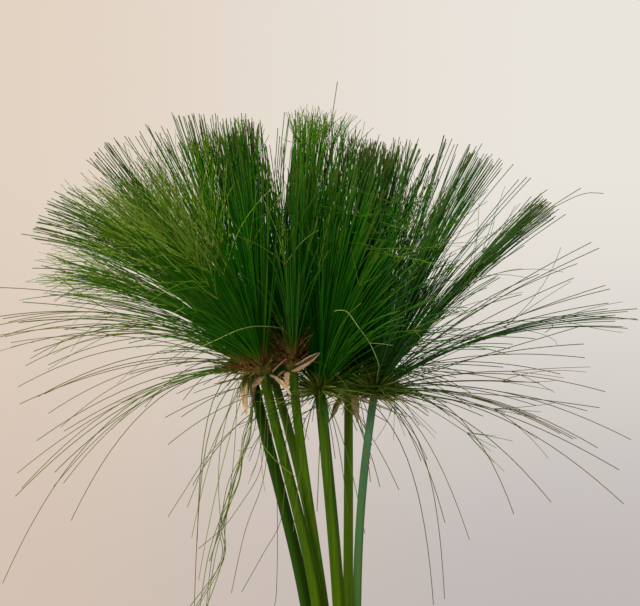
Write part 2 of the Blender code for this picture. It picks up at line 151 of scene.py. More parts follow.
def drawn_out(tree, place, share):
    """The place on the piece with its height shrunk to this share, which draws a pattern out upwards."""
    return add_node(tree, "Mapping", Vector=place, Scale=(1, 1, share)).outputs["Vector"]


def roughen(tree, shader, height, depth, strength=1.0):
    """Fine relief: the height, from 0 to 1, stands this deep in metres."""
    bump = add_node(tree, "Bump", Height=height, Distance=depth, Strength=strength)
    tree.links.new(bump.outputs["Normal"], shader.inputs["Normal"])


def colour_with(tree, shader, colour):
    tree.links.new(colour, shader.inputs["Base Color"])


def new_piece(name, points, faces, finish, smooth=True, **measures):
    """A piece from its corners and faces. Each measure is one number a corner, which its finish reads."""
    mesh = bpy.data.meshes.new(name)
    mesh.from_pydata(points, [], faces)
    for key, values in measures.items():
        mesh.attributes.new(key, "FLOAT", "POINT").data.foreach_set("value", values)
    mesh.materials.append(finish)
    if smooth:
        mesh.shade_smooth()
        mesh.set_sharp_from_angle(angle=SHARP_EDGE)
    thing = bpy.data.objects.new(name, mesh)
    bpy.context.scene.collection.objects.link(thing)
    return thing


def dress(piece, slot, *nodes):
    """Puts a finished piece in the place of its plain solids."""
    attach(piece, "root")
    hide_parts(*nodes)


def rounded(corners, radius, steps=5):
    """An outline with each of its inner corners rounded."""
    outline = [Vector(corners[0])]
    for before, corner, after in zip(corners, corners[1:], corners[2:]):
        corner = Vector(corner)
        back, on = Vector(before) - corner, Vector(after) - corner
        run = min(radius, back.length * 0.48, on.length * 0.48)
        start, end = corner + back.normalized() * run, corner + on.normalized() * run
        for i in range(steps + 1):
            share = i / steps
            outline.append(start * (1 - share) ** 2 + corner * 2 * share * (1 - share) + end * share ** 2)
    return outline + [Vector(corners[-1])]


def filled_in(outline, spacing):
    """The same outline with more points on its long straight runs."""
    points = []
    for a, b in zip(outline, outline[1:]):
        count = max(1, round((b - a).length / spacing))
        points += [a.lerp(b, i / count) for i in range(count)]
    return points + [outline[-1]]


def turned(outline, turns):
    """Corners and faces of an outline of (radius, height) spun once round, its two ends on the axis."""
    points, faces = [Vector((0, 0, outline[0].y))], []
    inner = outline[1:-1]
    for radius, height in inner:
        for i in range(turns):
            angle = math.tau * i / turns
            points.append(Vector((radius * math.cos(angle), radius * math.sin(angle), height)))
    points.append(Vector((0, 0, outline[-1].y)))
    for i in range(turns):
        j = (i + 1) % turns
        faces.append((0, 1 + j, 1 + i))
        for row in range(len(inner) - 1):
            low, high = 1 + row * turns, 1 + (row + 1) * turns
            faces.append((low + i, low + j, high + j, high + i))
        last = 1 + (len(inner) - 1) * turns
        faces.append((last + i, last + j, len(points) - 1))
    return points, faces


def pot_inner_radius(height):
    """The inside of the wall, a straight taper from the floor to the foot of the rim band."""
    share = height / (POT_HEIGHT - POT_RIM_BAND)
    return POT_FOOT_RADIUS + (POT_RIM_RADIUS - POT_RIM_STEP - POT_FOOT_RADIUS) * min(share, 1.0) - POT_WALL


def glaze():
    finish, tree, shader, place = new_finish("satin_glaze", GLAZE_ROUGHNESS)
    pale = blended(tree, patches(tree, place, *GLAZE_POOLS), GLAZE_THIN, GLAZE_PALE)
    glazed = blended(tree, patches(tree, place, *GLAZE_SPECKS), pale, GLAZE_SPECK)
    height = add_node(tree, "SeparateXYZ", Vector=place).outputs["Z"]
    waver = worked_out(tree, "MULTIPLY", patches(tree, place, *GLAZE_WAVES), GLAZE_WAVER)
    wavering = worked_out(tree, "ADD", height, waver)
    above = worked_out(tree, "GREATER_THAN", wavering, GLAZE_LINE + GLAZE_WAVER / 2)
    colour_with(tree, shader, blended(tree, above, BARE_CLAY, glazed))
    rough = add_node(tree, "MapRange", Value=above, To_Min=CLAY_ROUGHNESS, To_Max=GLAZE_ROUGHNESS)
    tree.links.new(rough.outputs["Result"], shader.inputs["Roughness"])
    roughen(tree, shader, patches(tree, place, *GLAZE_DIMPLES), GLAZE_DIMPLE_DEPTH, 0.5)
    return finish


def make_pot():
    band_foot = POT_HEIGHT - POT_RIM_BAND
    inner_top = pot_inner_radius(band_foot)
    corners = [(0, 0), (POT_FOOT_RADIUS, 0), (POT_RIM_RADIUS - POT_RIM_STEP, band_foot),
               (POT_RIM_RADIUS, band_foot), (POT_RIM_RADIUS, POT_HEIGHT), (inner_top, POT_HEIGHT),
               (inner_top, band_foot), (pot_inner_radius(POT_FLOOR), POT_FLOOR), (0, POT_FLOOR)]
    outline = filled_in(rounded(corners, POT_CORNER), OUTLINE_SPACING)
    for point in outline:
        if GLAZE_LINE < point.y < band_foot - POT_CORNER and point.x > POT_FOOT_RADIUS - POT_WALL / 2:
            point.x -= THROWING_RING * (1 + math.sin(math.tau * point.y / THROWING_RING_SPACING))
    dress(new_piece("pot_glazed", *turned(outline, POT_TURNS), glaze()), "pot", "pot")


make_pot()


# The soil
# Dark moist peat that fills the pot to nearly 3 cm below the rim, a little mounded round the stems.
# Crumbs of peat, chips of bark and a few white grains of perlite lie loose on top.

SOIL_TOP = 0.162
SOIL_MOUND = 0.004
SOIL_GAP = 0.0003
SOIL_ROUGHNESS = 0.0011
SOIL_WAVES_PER_METRE = 70
SOIL_RINGS = 60
CRUMB_COUNT = 2600
CRUMB_SIZES = (0.0005, 0.0018)
CHIP_COUNT = 150
CHIP_SIZES = (0.0020, 0.0048)
PERLITE_COUNT = 46
STREWN_SHARE = 0.985
STREWN_RISE = 0.2
PEAT_KIND, CHIP_KIND, PERLITE_KIND = 0.0, 0.5, 1.0
PEAT_DARK = (0.018, 0.012, 0.008, 1)
PEAT_DRY = (0.085, 0.055, 0.036, 1)
BARK = (0.16, 0.085, 0.045, 1)
PERLITE = (0.62, 0.60, 0.55, 1)
PEAT_CLUMPS = (210, 0.35, 0.68)
PEAT_GRAIN = (900, 0.2, 0.8)
PEAT_GRAIN_DEPTH = 0.0007


def peat():
    finish, tree, shader, place = new_finish("moist_peat", 0.92, 0.25)
    kind = measured(tree, "kind")
    body = blended(tree, patches(tree, place, *PEAT_CLUMPS), PEAT_DARK, PEAT_DRY)
    for lower, upper, colour in ((PEAT_KIND, CHIP_KIND, BARK), (CHIP_KIND, PERLITE_KIND, PERLITE)):
        body = blended(tree, worked_out(tree, "GREATER_THAN", kind, (lower + upper) / 2), body, colour)
    colour_with(tree, shader, body)
    roughen(tree, shader, patches(tree, place, *PEAT_GRAIN), PEAT_GRAIN_DEPTH)
    return finish


def soil_height(x, y):
    """The soil's surface: a low mound, roughened."""
    out = min(math.hypot(x, y) / pot_inner_radius(SOIL_TOP), 1.0)
    wave = noise.fractal(Vector((x, y, 0)) * SOIL_WAVES_PER_METRE, 1.0, 2.0, 4) * SOIL_ROUGHNESS
    return SOIL_TOP + SOIL_MOUND * (1 - out) + wave * min(1.0, (1 - out) * 12)


def add_lump(points, faces, kinds, centre, sizes, turn, kind):
    """One small angular lump with eight faces, squashed and turned."""
    first = len(points)
    spin = Matrix.Rotation(turn, 3, "Z") @ Matrix.Rotation(turn * 1.7, 3, "X")
    for axis in range(3):
        for sign in (1, -1):
            corner = Vector((0, 0, 0))
            corner[axis] = sign * sizes[axis]
            points.append(Vector(centre) + spin @ corner)
    for x, y, z in ((0, 2, 4), (2, 1, 4), (1, 3, 4), (3, 0, 4), (2, 0, 5), (1, 2, 5), (3, 1, 5), (0, 3, 5)):
        faces.append((first + x, first + y, first + z))
    kinds += [kind] * 6


def make_soil():
    draw = random.Random(11)
    rim = pot_inner_radius(SOIL_TOP) - SOIL_GAP
    foot = POT_FLOOR + SOIL_GAP
    low_edge = Vector((pot_inner_radius(foot) - SOIL_GAP, foot))
    rings = [Vector((rim * (1 - i / SOIL_RINGS), SOIL_TOP)) for i in range(SOIL_RINGS)]
    outline = [Vector((0, foot)), low_edge, *rings, Vector((0, SOIL_TOP))]
    points, faces = turned(outline, POT_TURNS)
    for point in points:
        if point.z > foot + 0.001:
            point.z = soil_height(point.x, point.y)
    kinds = [PEAT_KIND] * len(points)

    def strew(count, sizes, shape, kind):
        for _ in range(count):
            out, way = rim * STREWN_SHARE * math.sqrt(draw.random()), draw.uniform(0, math.tau)
            x, y = out * math.cos(way), out * math.sin(way)
            size = draw.uniform(*sizes)
            centre = (x, y, soil_height(x, y) + size * STREWN_RISE)
            half_sizes = [size * share for share in shape]
            add_lump(points, faces, kinds, centre, half_sizes, draw.uniform(0, 6), kind)

    strew(CRUMB_COUNT, CRUMB_SIZES, (1.0, 0.8, 0.7), PEAT_KIND)
    strew(CHIP_COUNT, CHIP_SIZES, (1.0, 0.5, 0.22), CHIP_KIND)
    strew(PERLITE_COUNT, CRUMB_SIZES, (0.9, 0.8, 0.7), PERLITE_KIND)
    dress(new_piece("soil_peat", points, faces, peat(), smooth=False, kind=kinds), "soil", "soil")


make_soil()


# The rootstock
# One woody rhizome that creeps just under the soil: a knob at the foot of each stem and a short runner.
# Its skin is brown and fibrous, ringed by the scars of old scale leaves.

KNOB_RADII = Vector((0.0150, 0.0150, 0.0135))
RUNNER_CENTRE = Vector((0.040, -0.014, SOIL_TOP))
RUNNER_RADII = Vector((0.021, 0.0115, 0.0105))
RUNNER_TURN = math.radians(33)
ROOTSTOCK_VOXEL = 0.0011
SCAR_SPACING = 0.0036
SCAR_DEPTH = 0.00042
SCAR_WANDER = 3
SCAR_WAVES_PER_METRE = 60
LUMP_DEPTH = 0.0005
LUMPS_PER_METRE = 130
ROOT_DARK = (0.055, 0.028, 0.014, 1)
ROOT_PALE = (0.26, 0.155, 0.075, 1)
ROOT_STRANDS = (520, 0.35, 0.65)
ROOT_DRAWN_OUT = 0.18
ROOT_STRAND_DEPTH = 0.0008

# Each stem, from the left: where its foot stands, the middle of its umbel's knob, how its top leans
# (sideways and back, per unit of height), how far it bows to the right halfway up, its radius under the
# umbel, the turn of its three corners in degrees, and how far up the stem its sheath reaches.
STEMS = {
    1: dict(foot=(-0.020, 0.003), hub=(-0.0900, 0.005, 0.5560), lean=(-0.215, 0.02), bow=0.0025,
            radius=0.0052, turn=26, sheath=0.62),
    2: dict(foot=(-0.012, -0.017), hub=(-0.0755, -0.040, 0.5580), lean=(-0.21, -0.10), bow=0.0045,
            radius=0.0047, turn=55, sheath=0.42),
    3: dict(foot=(-0.010, 0.022), hub=(-0.0690, 0.050, 0.5470), lean=(-0.32, 0.12), bow=0.0,
            radius=0.0043, turn=25, sheath=0.80),
    4: dict(foot=(-0.003, -0.001), hub=(-0.0470, -0.028, 0.5620), lean=(-0.08, -0.09), bow=0.0,
            radius=0.0043, turn=80, sheath=0.50),
    5: dict(foot=(0.004, -0.018), hub=(-0.0200, -0.012, 0.5350), lean=(-0.10, 0.00), bow=0.0,
            radius=0.0053, turn=40, sheath=0.90),
    6: dict(foot=(0.008, 0.017), hub=(0.0095, 0.042, 0.5350), lean=(0.00, 0.12), bow=0.0,
            radius=0.0043, turn=42, sheath=0.36),
    7: dict(foot=(0.018, 0.000), hub=(0.0350, 0.000, 0.5330), lean=(0.157, 0.01), bow=0.0,
            radius=0.0039, turn=70, sheath=0.56),
}


def root_skin():
    finish, tree, shader, place = new_finish("rootstock_skin", 0.85, 0.3)
    strands = patches(tree, drawn_out(tree, place, ROOT_DRAWN_OUT), *ROOT_STRANDS)
    colour_with(tree, shader, blended(tree, strands, ROOT_DARK, ROOT_PALE))
    roughen(tree, shader, strands, ROOT_STRAND_DEPTH)
    return finish


def add_knob(bm, centre, radii, turn):
    made = bmesh.ops.create_icosphere(bm, subdivisions=3, radius=1.0)["verts"]
    bmesh.ops.scale(bm, vec=radii, verts=made)
    bmesh.ops.rotate(bm, cent=(0, 0, 0), matrix=Matrix.Rotation(turn, 3, "Z"), verts=made)
    bmesh.ops.translate(bm, vec=centre, verts=made)


def make_rootstock():
    bm = bmesh.new()
    for stem in STEMS.values():
        add_knob(bm, Vector((*stem["foot"], SOIL_TOP)), KNOB_RADII, 0.0)
    add_knob(bm, RUNNER_CENTRE, RUNNER_RADII, RUNNER_TURN)
    lumps = bpy.data.meshes.new("rootstock_lumps")
    bm.to_mesh(lumps)
    bm.free()
    rough = bpy.data.objects.new("rootstock_lumps", lumps)
    bpy.context.scene.collection.objects.link(rough)
    remesh = rough.modifiers.new("one skin", "REMESH")
    remesh.mode = "VOXEL"
    remesh.voxel_size = ROOTSTOCK_VOXEL
    skin = rough.evaluated_get(bpy.context.evaluated_depsgraph_get()).to_mesh()
    points = [vert.co.copy() for vert in skin.vertices]
    normals = [vert.normal.copy() for vert in skin.vertices]
    faces = [tuple(face.vertices) for face in skin.polygons]
    bpy.data.objects.remove(rough, do_unlink=True)
    for point, normal in zip(points, normals):
        wander = SCAR_WANDER * noise.noise(point * SCAR_WAVES_PER_METRE)
        scar = abs(math.sin(math.pi * point.z / SCAR_SPACING + wander))
        lumpy = noise.fractal(point * LUMPS_PER_METRE, 1.0, 2.0, 3)
        point += normal * (SCAR_DEPTH * (scar - 1) + LUMP_DEPTH * lumpy)
    dress(new_piece("rootstock_skin", points, faces, root_skin()), "rootstock", "rootstock")


make_rootstock()


# The stems
# Seven smooth green stems without leaves or joints, three-sided with rounded corners, full of white pith.
# Each grows straight up from its knob and leans out to its umbel; fine ribs run their whole length.

STEM_SIDES = 30
STEM_STEPS = 64
STEM_CORNER = 0.11
STEM_FACE = 0.82
STEM_BASE_SWELL = 1.28
STEM_BASE_RISE = 0.120
STEM_TOP_RISE = 0.140
STEM_FOOT = SOIL_TOP + 0.006
STEM_RIBS = 54
STEM_RIB_DEPTH = 0.00018
HUB_CUT = 0.0050
STEM_GAP = 0.0003
STEM_TWIST = -14
STEM_DEEP = (0.022, 0.075, 0.002, 1)
STEM_BRIGHT = (0.105, 0.215, 0.008, 1)
STEM_OLIVE = (0.095, 0.180, 0.001, 1)
STEM_BLUISH = (0.110, 0.270, 0.140, 1)
STEM_PALE_FOOT = (0.33, 0.36, 0.12, 1)
# The lit green that is painted on a stem that should look more lit: painted light.
STEM_PAINTED_LIT = (0.170, 0.330, 0.012, 1)
STEM_STREAKS = (420, 0.22, 0.80)
STEM_DRAWN_OUT = 0.03

# How far up a stem, as a share of its length, these colours begin and are full.
STEM_OLIVE_BELOW = (0.75, 0.25)
STEM_PALE_BELOW = (0.16, 0.0)

# How bluish each stem is at its top, and its painted lighting: above 0 the stem is painted brighter, as
# painted light, and below 0 it is painted deeper green than the others, as painted shade.
STEM_HUES = {1: 0.0, 2: 0.0, 3: 0.05, 4: 0.0, 5: 0.0, 6: 0.0, 7: 1.0}
STEM_PAINTED_LIGHTING = {1: -0.45, 2: -0.05, 3: 0.45, 4: 0.10, 5: 0.05, 6: 0.70, 7: 0.0}


def stem_line(stem, steps):
    """The stem's middle line: straight up from its foot, then leaning out to its umbel."""
    foot = Vector((*stem["foot"], STEM_FOOT))
    slope = Vector((*stem["lean"], 1.0))
    tip = Vector(stem["hub"]) - slope.normalized() * (HUB_CUT + STEM_GAP)
    line = interpolate_bezier(foot, foot + Vector((0, 0, STEM_BASE_RISE)), tip - slope * STEM_TOP_RISE, tip,
                              steps + 1)
    for step, point in enumerate(line):
        point.x += stem["bow"] * math.sin(math.pi * step / steps) ** 2
    return line


def corner_reach(angle):
    """How far a three-cornered outline with flat faces and round corners reaches, for a radius of 1."""
    off = abs((angle + math.pi / 3) % (math.tau / 3) - math.pi / 3)
    rounding = 2 * STEM_FACE - 1 - STEM_CORNER
    middle = 1 + STEM_CORNER - rounding
    flat_from = math.atan2(rounding * math.sin(math.pi / 3), middle + rounding * math.cos(math.pi / 3))
    if off > flat_from:
        return STEM_FACE / math.cos(math.pi / 3 - off)
    return middle * math.cos(off) + math.sqrt(rounding ** 2 - (middle * math.sin(off)) ** 2)


def stem_ring(stem, line, step, sides, extra=0.0):
    """The stem's outline at one of its steps, a rounded triangle square to the stem."""
    last = len(line) - 1
    along = (line[min(step + 1, last)] - line[max(step - 1, 0)]).normalized()
    across = (Vector((1, 0, 0)) - along * along.x).normalized()
    back = along.cross(across)
    radius = stem["radius"] * (STEM_BASE_SWELL + (1 - STEM_BASE_SWELL) * step / last) + extra
    ring = []
    for i in range(sides):
        angle = math.tau * i / sides
        facing = angle + math.radians(stem["turn"] + STEM_TWIST * (1 - step / last))
        reach = radius * corner_reach(angle)
        ring.append(line[step] + (across * math.cos(facing) + back * math.sin(facing)) * reach)
    return ring


def skinned(rings, closed=True):
    """Faces over a row of rings with as many corners each, with both ends closed."""
    count, faces = len(rings[0]), []
    for row in range(len(rings) - 1):
        low = row * count
        for i in range(count):
            j = (i + 1) % count
            faces.append((low + i, low + j, low + count + j, low + count + i))
    if closed:
        faces.append(tuple(range(count - 1, -1, -1)))
        top = (len(rings) - 1) * count
        faces.append(tuple(range(top, top + count)))
    return faces


def stem_skin():
    finish, tree, shader, place = new_finish("waxy_stem", 0.42, 0.06)
    up, fresh = measured(tree, "up"), measured(tree, "fresh")
    streaks = patches(tree, drawn_out(tree, place, STEM_DRAWN_OUT), *STEM_STREAKS)
    body = blended(tree, streaks, STEM_DEEP, STEM_BRIGHT)
    body = blended(tree, rising(tree, up, *STEM_OLIVE_BELOW), body, STEM_OLIVE)
    # Painted light and shade: each stem's own amount brightens it towards the lit green above 0 and deepens
    # it below 0.
    body = blended(tree, fresh, body, STEM_PAINTED_LIT)
    body = blended(tree, worked_out(tree, "MULTIPLY", fresh, -2), body, STEM_DEEP)
    body = blended(tree, measured(tree, "hue"), body, STEM_BLUISH)
    colour_with(tree, shader, blended(tree, rising(tree, up, *STEM_PALE_BELOW), body, STEM_PALE_FOOT))
    turns = worked_out(tree, "MULTIPLY", measured(tree, "round"), STEM_RIBS * math.tau)
    roughen(tree, shader, worked_out(tree, "SINE", turns, 0), STEM_RIB_DEPTH, 0.6)
    return finish


def make_stems():
    finish = stem_skin()
    for number, stem in STEMS.items():
        line = stem_line(stem, STEM_STEPS)
        rings = [stem_ring(stem, line, step, STEM_SIDES) for step in range(STEM_STEPS + 1)]
        points = [point for ring in rings for point in ring]
        up = [step / STEM_STEPS for step in range(STEM_STEPS + 1) for _ in range(STEM_SIDES)]
        piece = new_piece(f"stem_{number}_green", points, skinned(rings), finish, up=up,
                          fresh=[STEM_PAINTED_LIGHTING[number]] * len(points),
                          round=[i / STEM_SIDES for _ in rings for i in range(STEM_SIDES)],
                          hue=[STEM_HUES[number] * share ** 1.6 for share in up])
        dress(piece, "stem", f"stem_{number}")


make_stems()


# The sheaths
# A thin brown papery sheath, the remains of a leaf, wraps the foot of each stem like a sleeve.
# Its mouth runs up to a point on one side, and its edge is dry and a little frayed.

SHEATH_WALL = 0.0008
SHEATH_GAP = 0.00045
SHEATH_LOW_SHARE = 0.12
SHEATH_SIDES = 48
SHEATH_ROWS = 40
SHEATH_FRAY = 0.032
SHEATH_RIB = 0.00012
SHEATH_RIBS = 16
SHEATH_FLARE = 0.0006
PAPER_BROWN = (0.20, 0.105, 0.045, 1)
PAPER_STRAW = (0.44, 0.30, 0.145, 1)
PAPER_STRAW_ABOVE = (0.86, 1.0)
PAPER_FIBRES = (900, 0.3, 0.7)
PAPER_DRAWN_OUT = 0.05
PAPER_FIBRE_DEPTH = 0.0004
PLAIN_STEM_STEPS = 8


def papery():
    finish, tree, shader, place = new_finish("papery_sheath", 0.72, 0.3)
    fibres = patches(tree, drawn_out(tree, place, PAPER_DRAWN_OUT), *PAPER_FIBRES)
    body = blended(tree, fibres, PAPER_BROWN, PAPER_STRAW)
    edge = rising(tree, measured(tree, "up"), *PAPER_STRAW_ABOVE)
    colour_with(tree, shader, blended(tree, edge, body, PAPER_STRAW))
    roughen(tree, shader, fibres, PAPER_FIBRE_DEPTH)
    return finish


def make_sheaths():
    finish = papery()
    for number, stem in STEMS.items():
        draw = random.Random(number)
        line = stem_line(stem, STEM_STEPS)
        step_length = STEM_STEPS // PLAIN_STEM_STEPS
        rings = [stem_ring(stem, line, step, SHEATH_SIDES) for step in range(2 * step_length + 1)]
        middles = [sum(ring, Vector()) / SHEATH_SIDES for ring in rings]
        frays = [draw.uniform(-1, 1) * SHEATH_FRAY for _ in range(SHEATH_SIDES)]

        def wall(extra):
            rows = []
            for row in range(SHEATH_ROWS + 1):
                share = row / SHEATH_ROWS
                ring = []
                for i in range(SHEATH_SIDES):
                    high_side = 0.5 + 0.5 * math.cos(math.tau * i / SHEATH_SIDES)
                    reach = 1 + SHEATH_LOW_SHARE + (stem["sheath"] - SHEATH_LOW_SHARE) * high_side
                    place = (reach + frays[i] * share ** 8) * share * step_length
                    low = min(int(place), 2 * step_length - 1)
                    point = rings[low][i].lerp(rings[low + 1][i], place - low)
                    middle = middles[low].lerp(middles[low + 1], place - low)
                    rib = SHEATH_RIB * math.cos(math.tau * i / SHEATH_SIDES * SHEATH_RIBS)
                    flare = SHEATH_FLARE * share ** 6
                    ring.append(point + (point - middle).normalized() * (extra + rib + flare))
                rows.append(ring)
            return rows

        outside, inside = wall(SHEATH_GAP + SHEATH_WALL), wall(SHEATH_GAP)
        rows = outside + inside[::-1]
        faces = skinned(rows, closed=False)
        last = (len(rows) - 1) * SHEATH_SIDES
        for i in range(SHEATH_SIDES):
            j = (i + 1) % SHEATH_SIDES
            faces.append((i, last + i, last + j, j))
        up = [row / SHEATH_ROWS for row in range(SHEATH_ROWS + 1)]
        points = [point for row in rows for point in row]
        piece = new_piece(f"sheath_{number}_papery", points, faces, finish,
                          up=[share for share in up + up[::-1] for _ in range(SHEATH_SIDES)])
        dress(piece, "sheath", f"sheath_{number}")


make_sheaths()


# The bracts
# Four short dry leaf blades stand or hang under each umbel, where the stem ends. They have gone brown
# and papery, with raised veins, curled and wavy edges and a drawn-out tip.

BRACT_ROWS = 18
BRACT_ACROSS = 8
BRACT_THICKNESS = 0.0011
BRACT_CUP = 0.16
BRACT_TWIST = 0.5
BRACT_WAVE = 0.5
BRACT_WAVES = 9
BRACT_RAGGED_WAVES = 23
BRACT_THINNING = 0.6
BRACT_EDGE_THINNING = 0.75
BOAT_CUP = 0.62
BOAT_WAVE = 0.06
BOAT_PALENESS = 1.5
BOAT_ROLL = math.radians(40)
# How dark the inner face of the boat-folded blade is painted: painted shade for the shadow in its hollow.
BOAT_INNER_PAINTED_SHADE = 0.95
BRACT_START = 0.0020
BRACT_DROP = 0.0011
BRACT_VEIN = 0.00016
BRACT_VEINS = 3
BRACT_DARK = (0.045, 0.020, 0.009, 1)
BRACT_BROWN = (0.40, 0.200, 0.080, 1)
# The tan of the dry blades: their own colour, raised brighter as painted light, for sunlight on blades that
# lie in the shade of the mop.
BRACT_TAN = (1.00, 0.72, 0.43, 1)
BRACT_GREEN = (0.045, 0.130, 0.010, 1)
BRACT_DARK_BELOW = (0.14, 0.0)
BRACT_BLOTCHES = (260, 0.36, 0.66)
BRACT_STREAKS = (700, 0.3, 0.7)
BRACT_TAN_PATCHES = (190, 0.40, 0.55)
BRACT_GRAIN = (900, 0.3, 0.7)
BRACT_GRAIN_DEPTH = 0.0005

# By umbel: heading at the root and at the tip in degrees, slope at the root and at the tip in degrees
# above level, length and width. Slopes are taken against the stem's own top. The last value is how pale
# the blade is: from 0 for brown to 1 for tan, -1 for one that is still green, and 1.5 for the tan one
# that is folded like a boat.
BRACTS = {
    1: ((158, 158, -8, 4, 0.036, 0.0078, 0.30), (235, 235, -64, -76, 0.040, 0.0110, 1.00),
        (112, 112, -15, 12, 0.040, 0.0075, 0.30), (305, 305, -40, -62, 0.032, 0.0070, 0.35)),
    2: ((10, 10, 38, 20, 0.021, 0.0045, 1.00), (140, 140, -50, -72, 0.034, 0.0080, 0.30),
        (255, 255, -18, 8, 0.038, 0.0075, 0.35), (318, 318, -30, -60, 0.032, 0.0060, 1.00)),
    3: ((60, 60, -10, 14, 0.036, 0.0075, 0.40), (150, 150, -30, -60, 0.034, 0.0075, 0.30),
        (235, 235, -55, -80, 0.030, 0.0070, 0.50), (340, 340, -20, 6, 0.030, 0.0070, 0.40)),
    4: ((285, 350, 4, 50, 0.046, 0.0105, 1.50), (225, 225, -72, -88, 0.016, 0.0075, 1.00),
        (174, 174, -20, -62, 0.016, 0.0080, 0.90), (85, 85, -12, 10, 0.038, 0.0075, 0.30)),
    5: ((285, 285, -66, -86, 0.030, 0.0070, -1.00), (160, 160, -20, 6, 0.034, 0.0070, 0.60),
        (98, 98, -18, 10, 0.036, 0.0075, 0.30), (10, 10, -12, 12, 0.026, 0.0065, 0.30)),
    6: ((205, 205, -58, -68, 0.032, 0.0085, 0.50), (305, 305, -72, -82, 0.031, 0.0105, 1.00),
        (30, 30, -10, 16, 0.038, 0.0075, 0.30), (120, 120, -30, -55, 0.036, 0.0075, 0.40)),
    7: ((150, 150, 8, 44, 0.026, 0.0065, 0.50), (215, 215, -12, 10, 0.022, 0.0065, 0.30),
        (335, 335, 0, 24, 0.030, 0.0070, 0.30), (60, 60, -10, 10, 0.032, 0.0075, 0.30)),
}


def outward(axis, heading):
    """The way out from a stem at this heading, square to the stem."""
    level = Vector((math.cos(math.radians(heading)), math.sin(math.radians(heading)), 0.0))
    return (level - axis * level.dot(axis)).normalized()


def bract_line(stem, root_heading, tip_heading, root_slope, tip_slope, length, rows):
    """Points, ways across and ways up of a bract that starts beside the top of its stem."""
    axis = Vector((*stem["lean"], 1.0)).normalized()
    start = stem["radius"] * (1 + STEM_CORNER) + BRACT_START
    point = Vector(stem["hub"]) - axis * (HUB_CUT + BRACT_DROP) + outward(axis, root_heading) * start
    line = []
    for row in range(rows + 1):
        out = outward(axis, root_heading + (tip_heading - root_heading) * row / rows)
        slope = math.radians(root_slope + (tip_slope - root_slope) * row / rows)
        along = out * math.cos(slope) + axis * math.sin(slope)
        side = out.cross(axis)
        line.append((point.copy(), side, side.cross(along)))
        point += along * length / rows
    return line


def bract_width(share):
    """A lance shape: widest before the middle, three quarters of that at the root, drawn out to the tip."""
    return (1 - share) ** 0.75 * (0.62 + 1.5 * share) + 0.06


def dry_blade():
    finish, tree, shader, place = new_finish("dry_bract", 0.62, 0.35)
    pale = measured(tree, "pale")
    brown = blended(tree, patches(tree, place, *BRACT_BLOTCHES), BRACT_DARK, BRACT_BROWN)
    # Partly painted light: the tan here is the blades' own colour made brighter to stand for sunlight.
    streaks = blended(tree, patches(tree, place, *BRACT_STREAKS), BRACT_BROWN, BRACT_TAN)
    tan = blended(tree, patches(tree, place, *BRACT_TAN_PATCHES), streaks, BRACT_TAN)
    body = blended(tree, pale, brown, tan)
    body = blended(tree, worked_out(tree, "MULTIPLY", pale, -1), body, BRACT_GREEN)
    # Painted shade: the inner face of the boat-folded blade, marked by the inside measure, is darkened.
    body = blended(tree, measured(tree, "inside"), body, BRACT_DARK)
    root = rising(tree, measured(tree, "up"), *BRACT_DARK_BELOW)
    colour_with(tree, shader, blended(tree, root, body, BRACT_DARK))
    roughen(tree, shader, patches(tree, place, *BRACT_GRAIN), BRACT_GRAIN_DEPTH)
    return finish


def bract_surface(stem, shape, draw):
    """Corners of the blade's upper and lower side, row by row, as one closed ring a row."""
    *course, width, paleness = shape
    line = bract_line(stem, *course, BRACT_ROWS)
    phase, twist = draw.uniform(0, 6), draw.uniform(-BRACT_TWIST, BRACT_TWIST)
    cup, wave, roll = BRACT_CUP, BRACT_WAVE, 0.0
    if paleness == BOAT_PALENESS:
        cup, wave, roll, twist = BOAT_CUP, BOAT_WAVE, BOAT_ROLL, 0.0
    rings = []
    for row, (point, side, up) in enumerate(line):
        share = row / BRACT_ROWS
        half = width / 2 * bract_width(share)
        thick = BRACT_THICKNESS / 2 * (1 - BRACT_THINNING * share)
        along = up.cross(side)
        turn = Matrix.Rotation(roll + twist * share ** 2, 3, along)
        turned_side, turned_up = turn @ side, turn @ up
        top, bottom = [], []
        for i in range(BRACT_ACROSS + 1):
            across = 2 * i / BRACT_ACROSS - 1
            waved = 1 + wave * math.sin(BRACT_WAVES * share + phase + across)
            curl = cup * 2 * half * (abs(across) ** 1.6) * waved
            vein = BRACT_VEIN * math.cos(across * BRACT_VEINS * math.pi)
            ragged = 1 + 0.2 * wave * math.sin(BRACT_RAGGED_WAVES * share + phase) * abs(across)
            middle = point + turned_side * half * across * ragged + turned_up * (curl + vein)
            rim = 1 - BRACT_EDGE_THINNING * abs(across) ** 3
            top.append(middle + turned_up * thick * rim)
            bottom.append(middle - turned_up * thick * rim)
        rings.append(bottom + top[::-1])
    return rings


def make_bracts():
    finish = dry_blade()
    for number, shapes in BRACTS.items():
        for index, shape in enumerate(shapes, start=1):
            rings = bract_surface(STEMS[number], shape, random.Random(number * 10 + index))
            points = [point for ring in rings for point in ring]
            count = len(rings[0])
            # The inside measure carries painted shade on the inner face of the boat-folded blade only.
            inner_painted_shade = BOAT_INNER_PAINTED_SHADE if shape[-1] == BOAT_PALENESS else 0.0
            inner = [0.0] * (BRACT_ACROSS + 2) + [inner_painted_shade] * (BRACT_ACROSS - 1) + [0.0]
            piece = new_piece(f"bract_{number}_{index}_dry", points, skinned(rings), finish,
                              pale=[shape[-1]] * len(points), inside=inner * len(rings),
                              up=[row / BRACT_ROWS for row in range(len(rings)) for _ in range(count)])
            dress(piece, "bract", f"bract_{number}_{index}")


make_bracts()


# The umbels
# Each stem ends in a knob that carries a mop of thread-like green rays, three-cornered and springy.
# A ray starts in a brown tube, and ends blunt or in a joint with a few finer threads and a tiny spike.

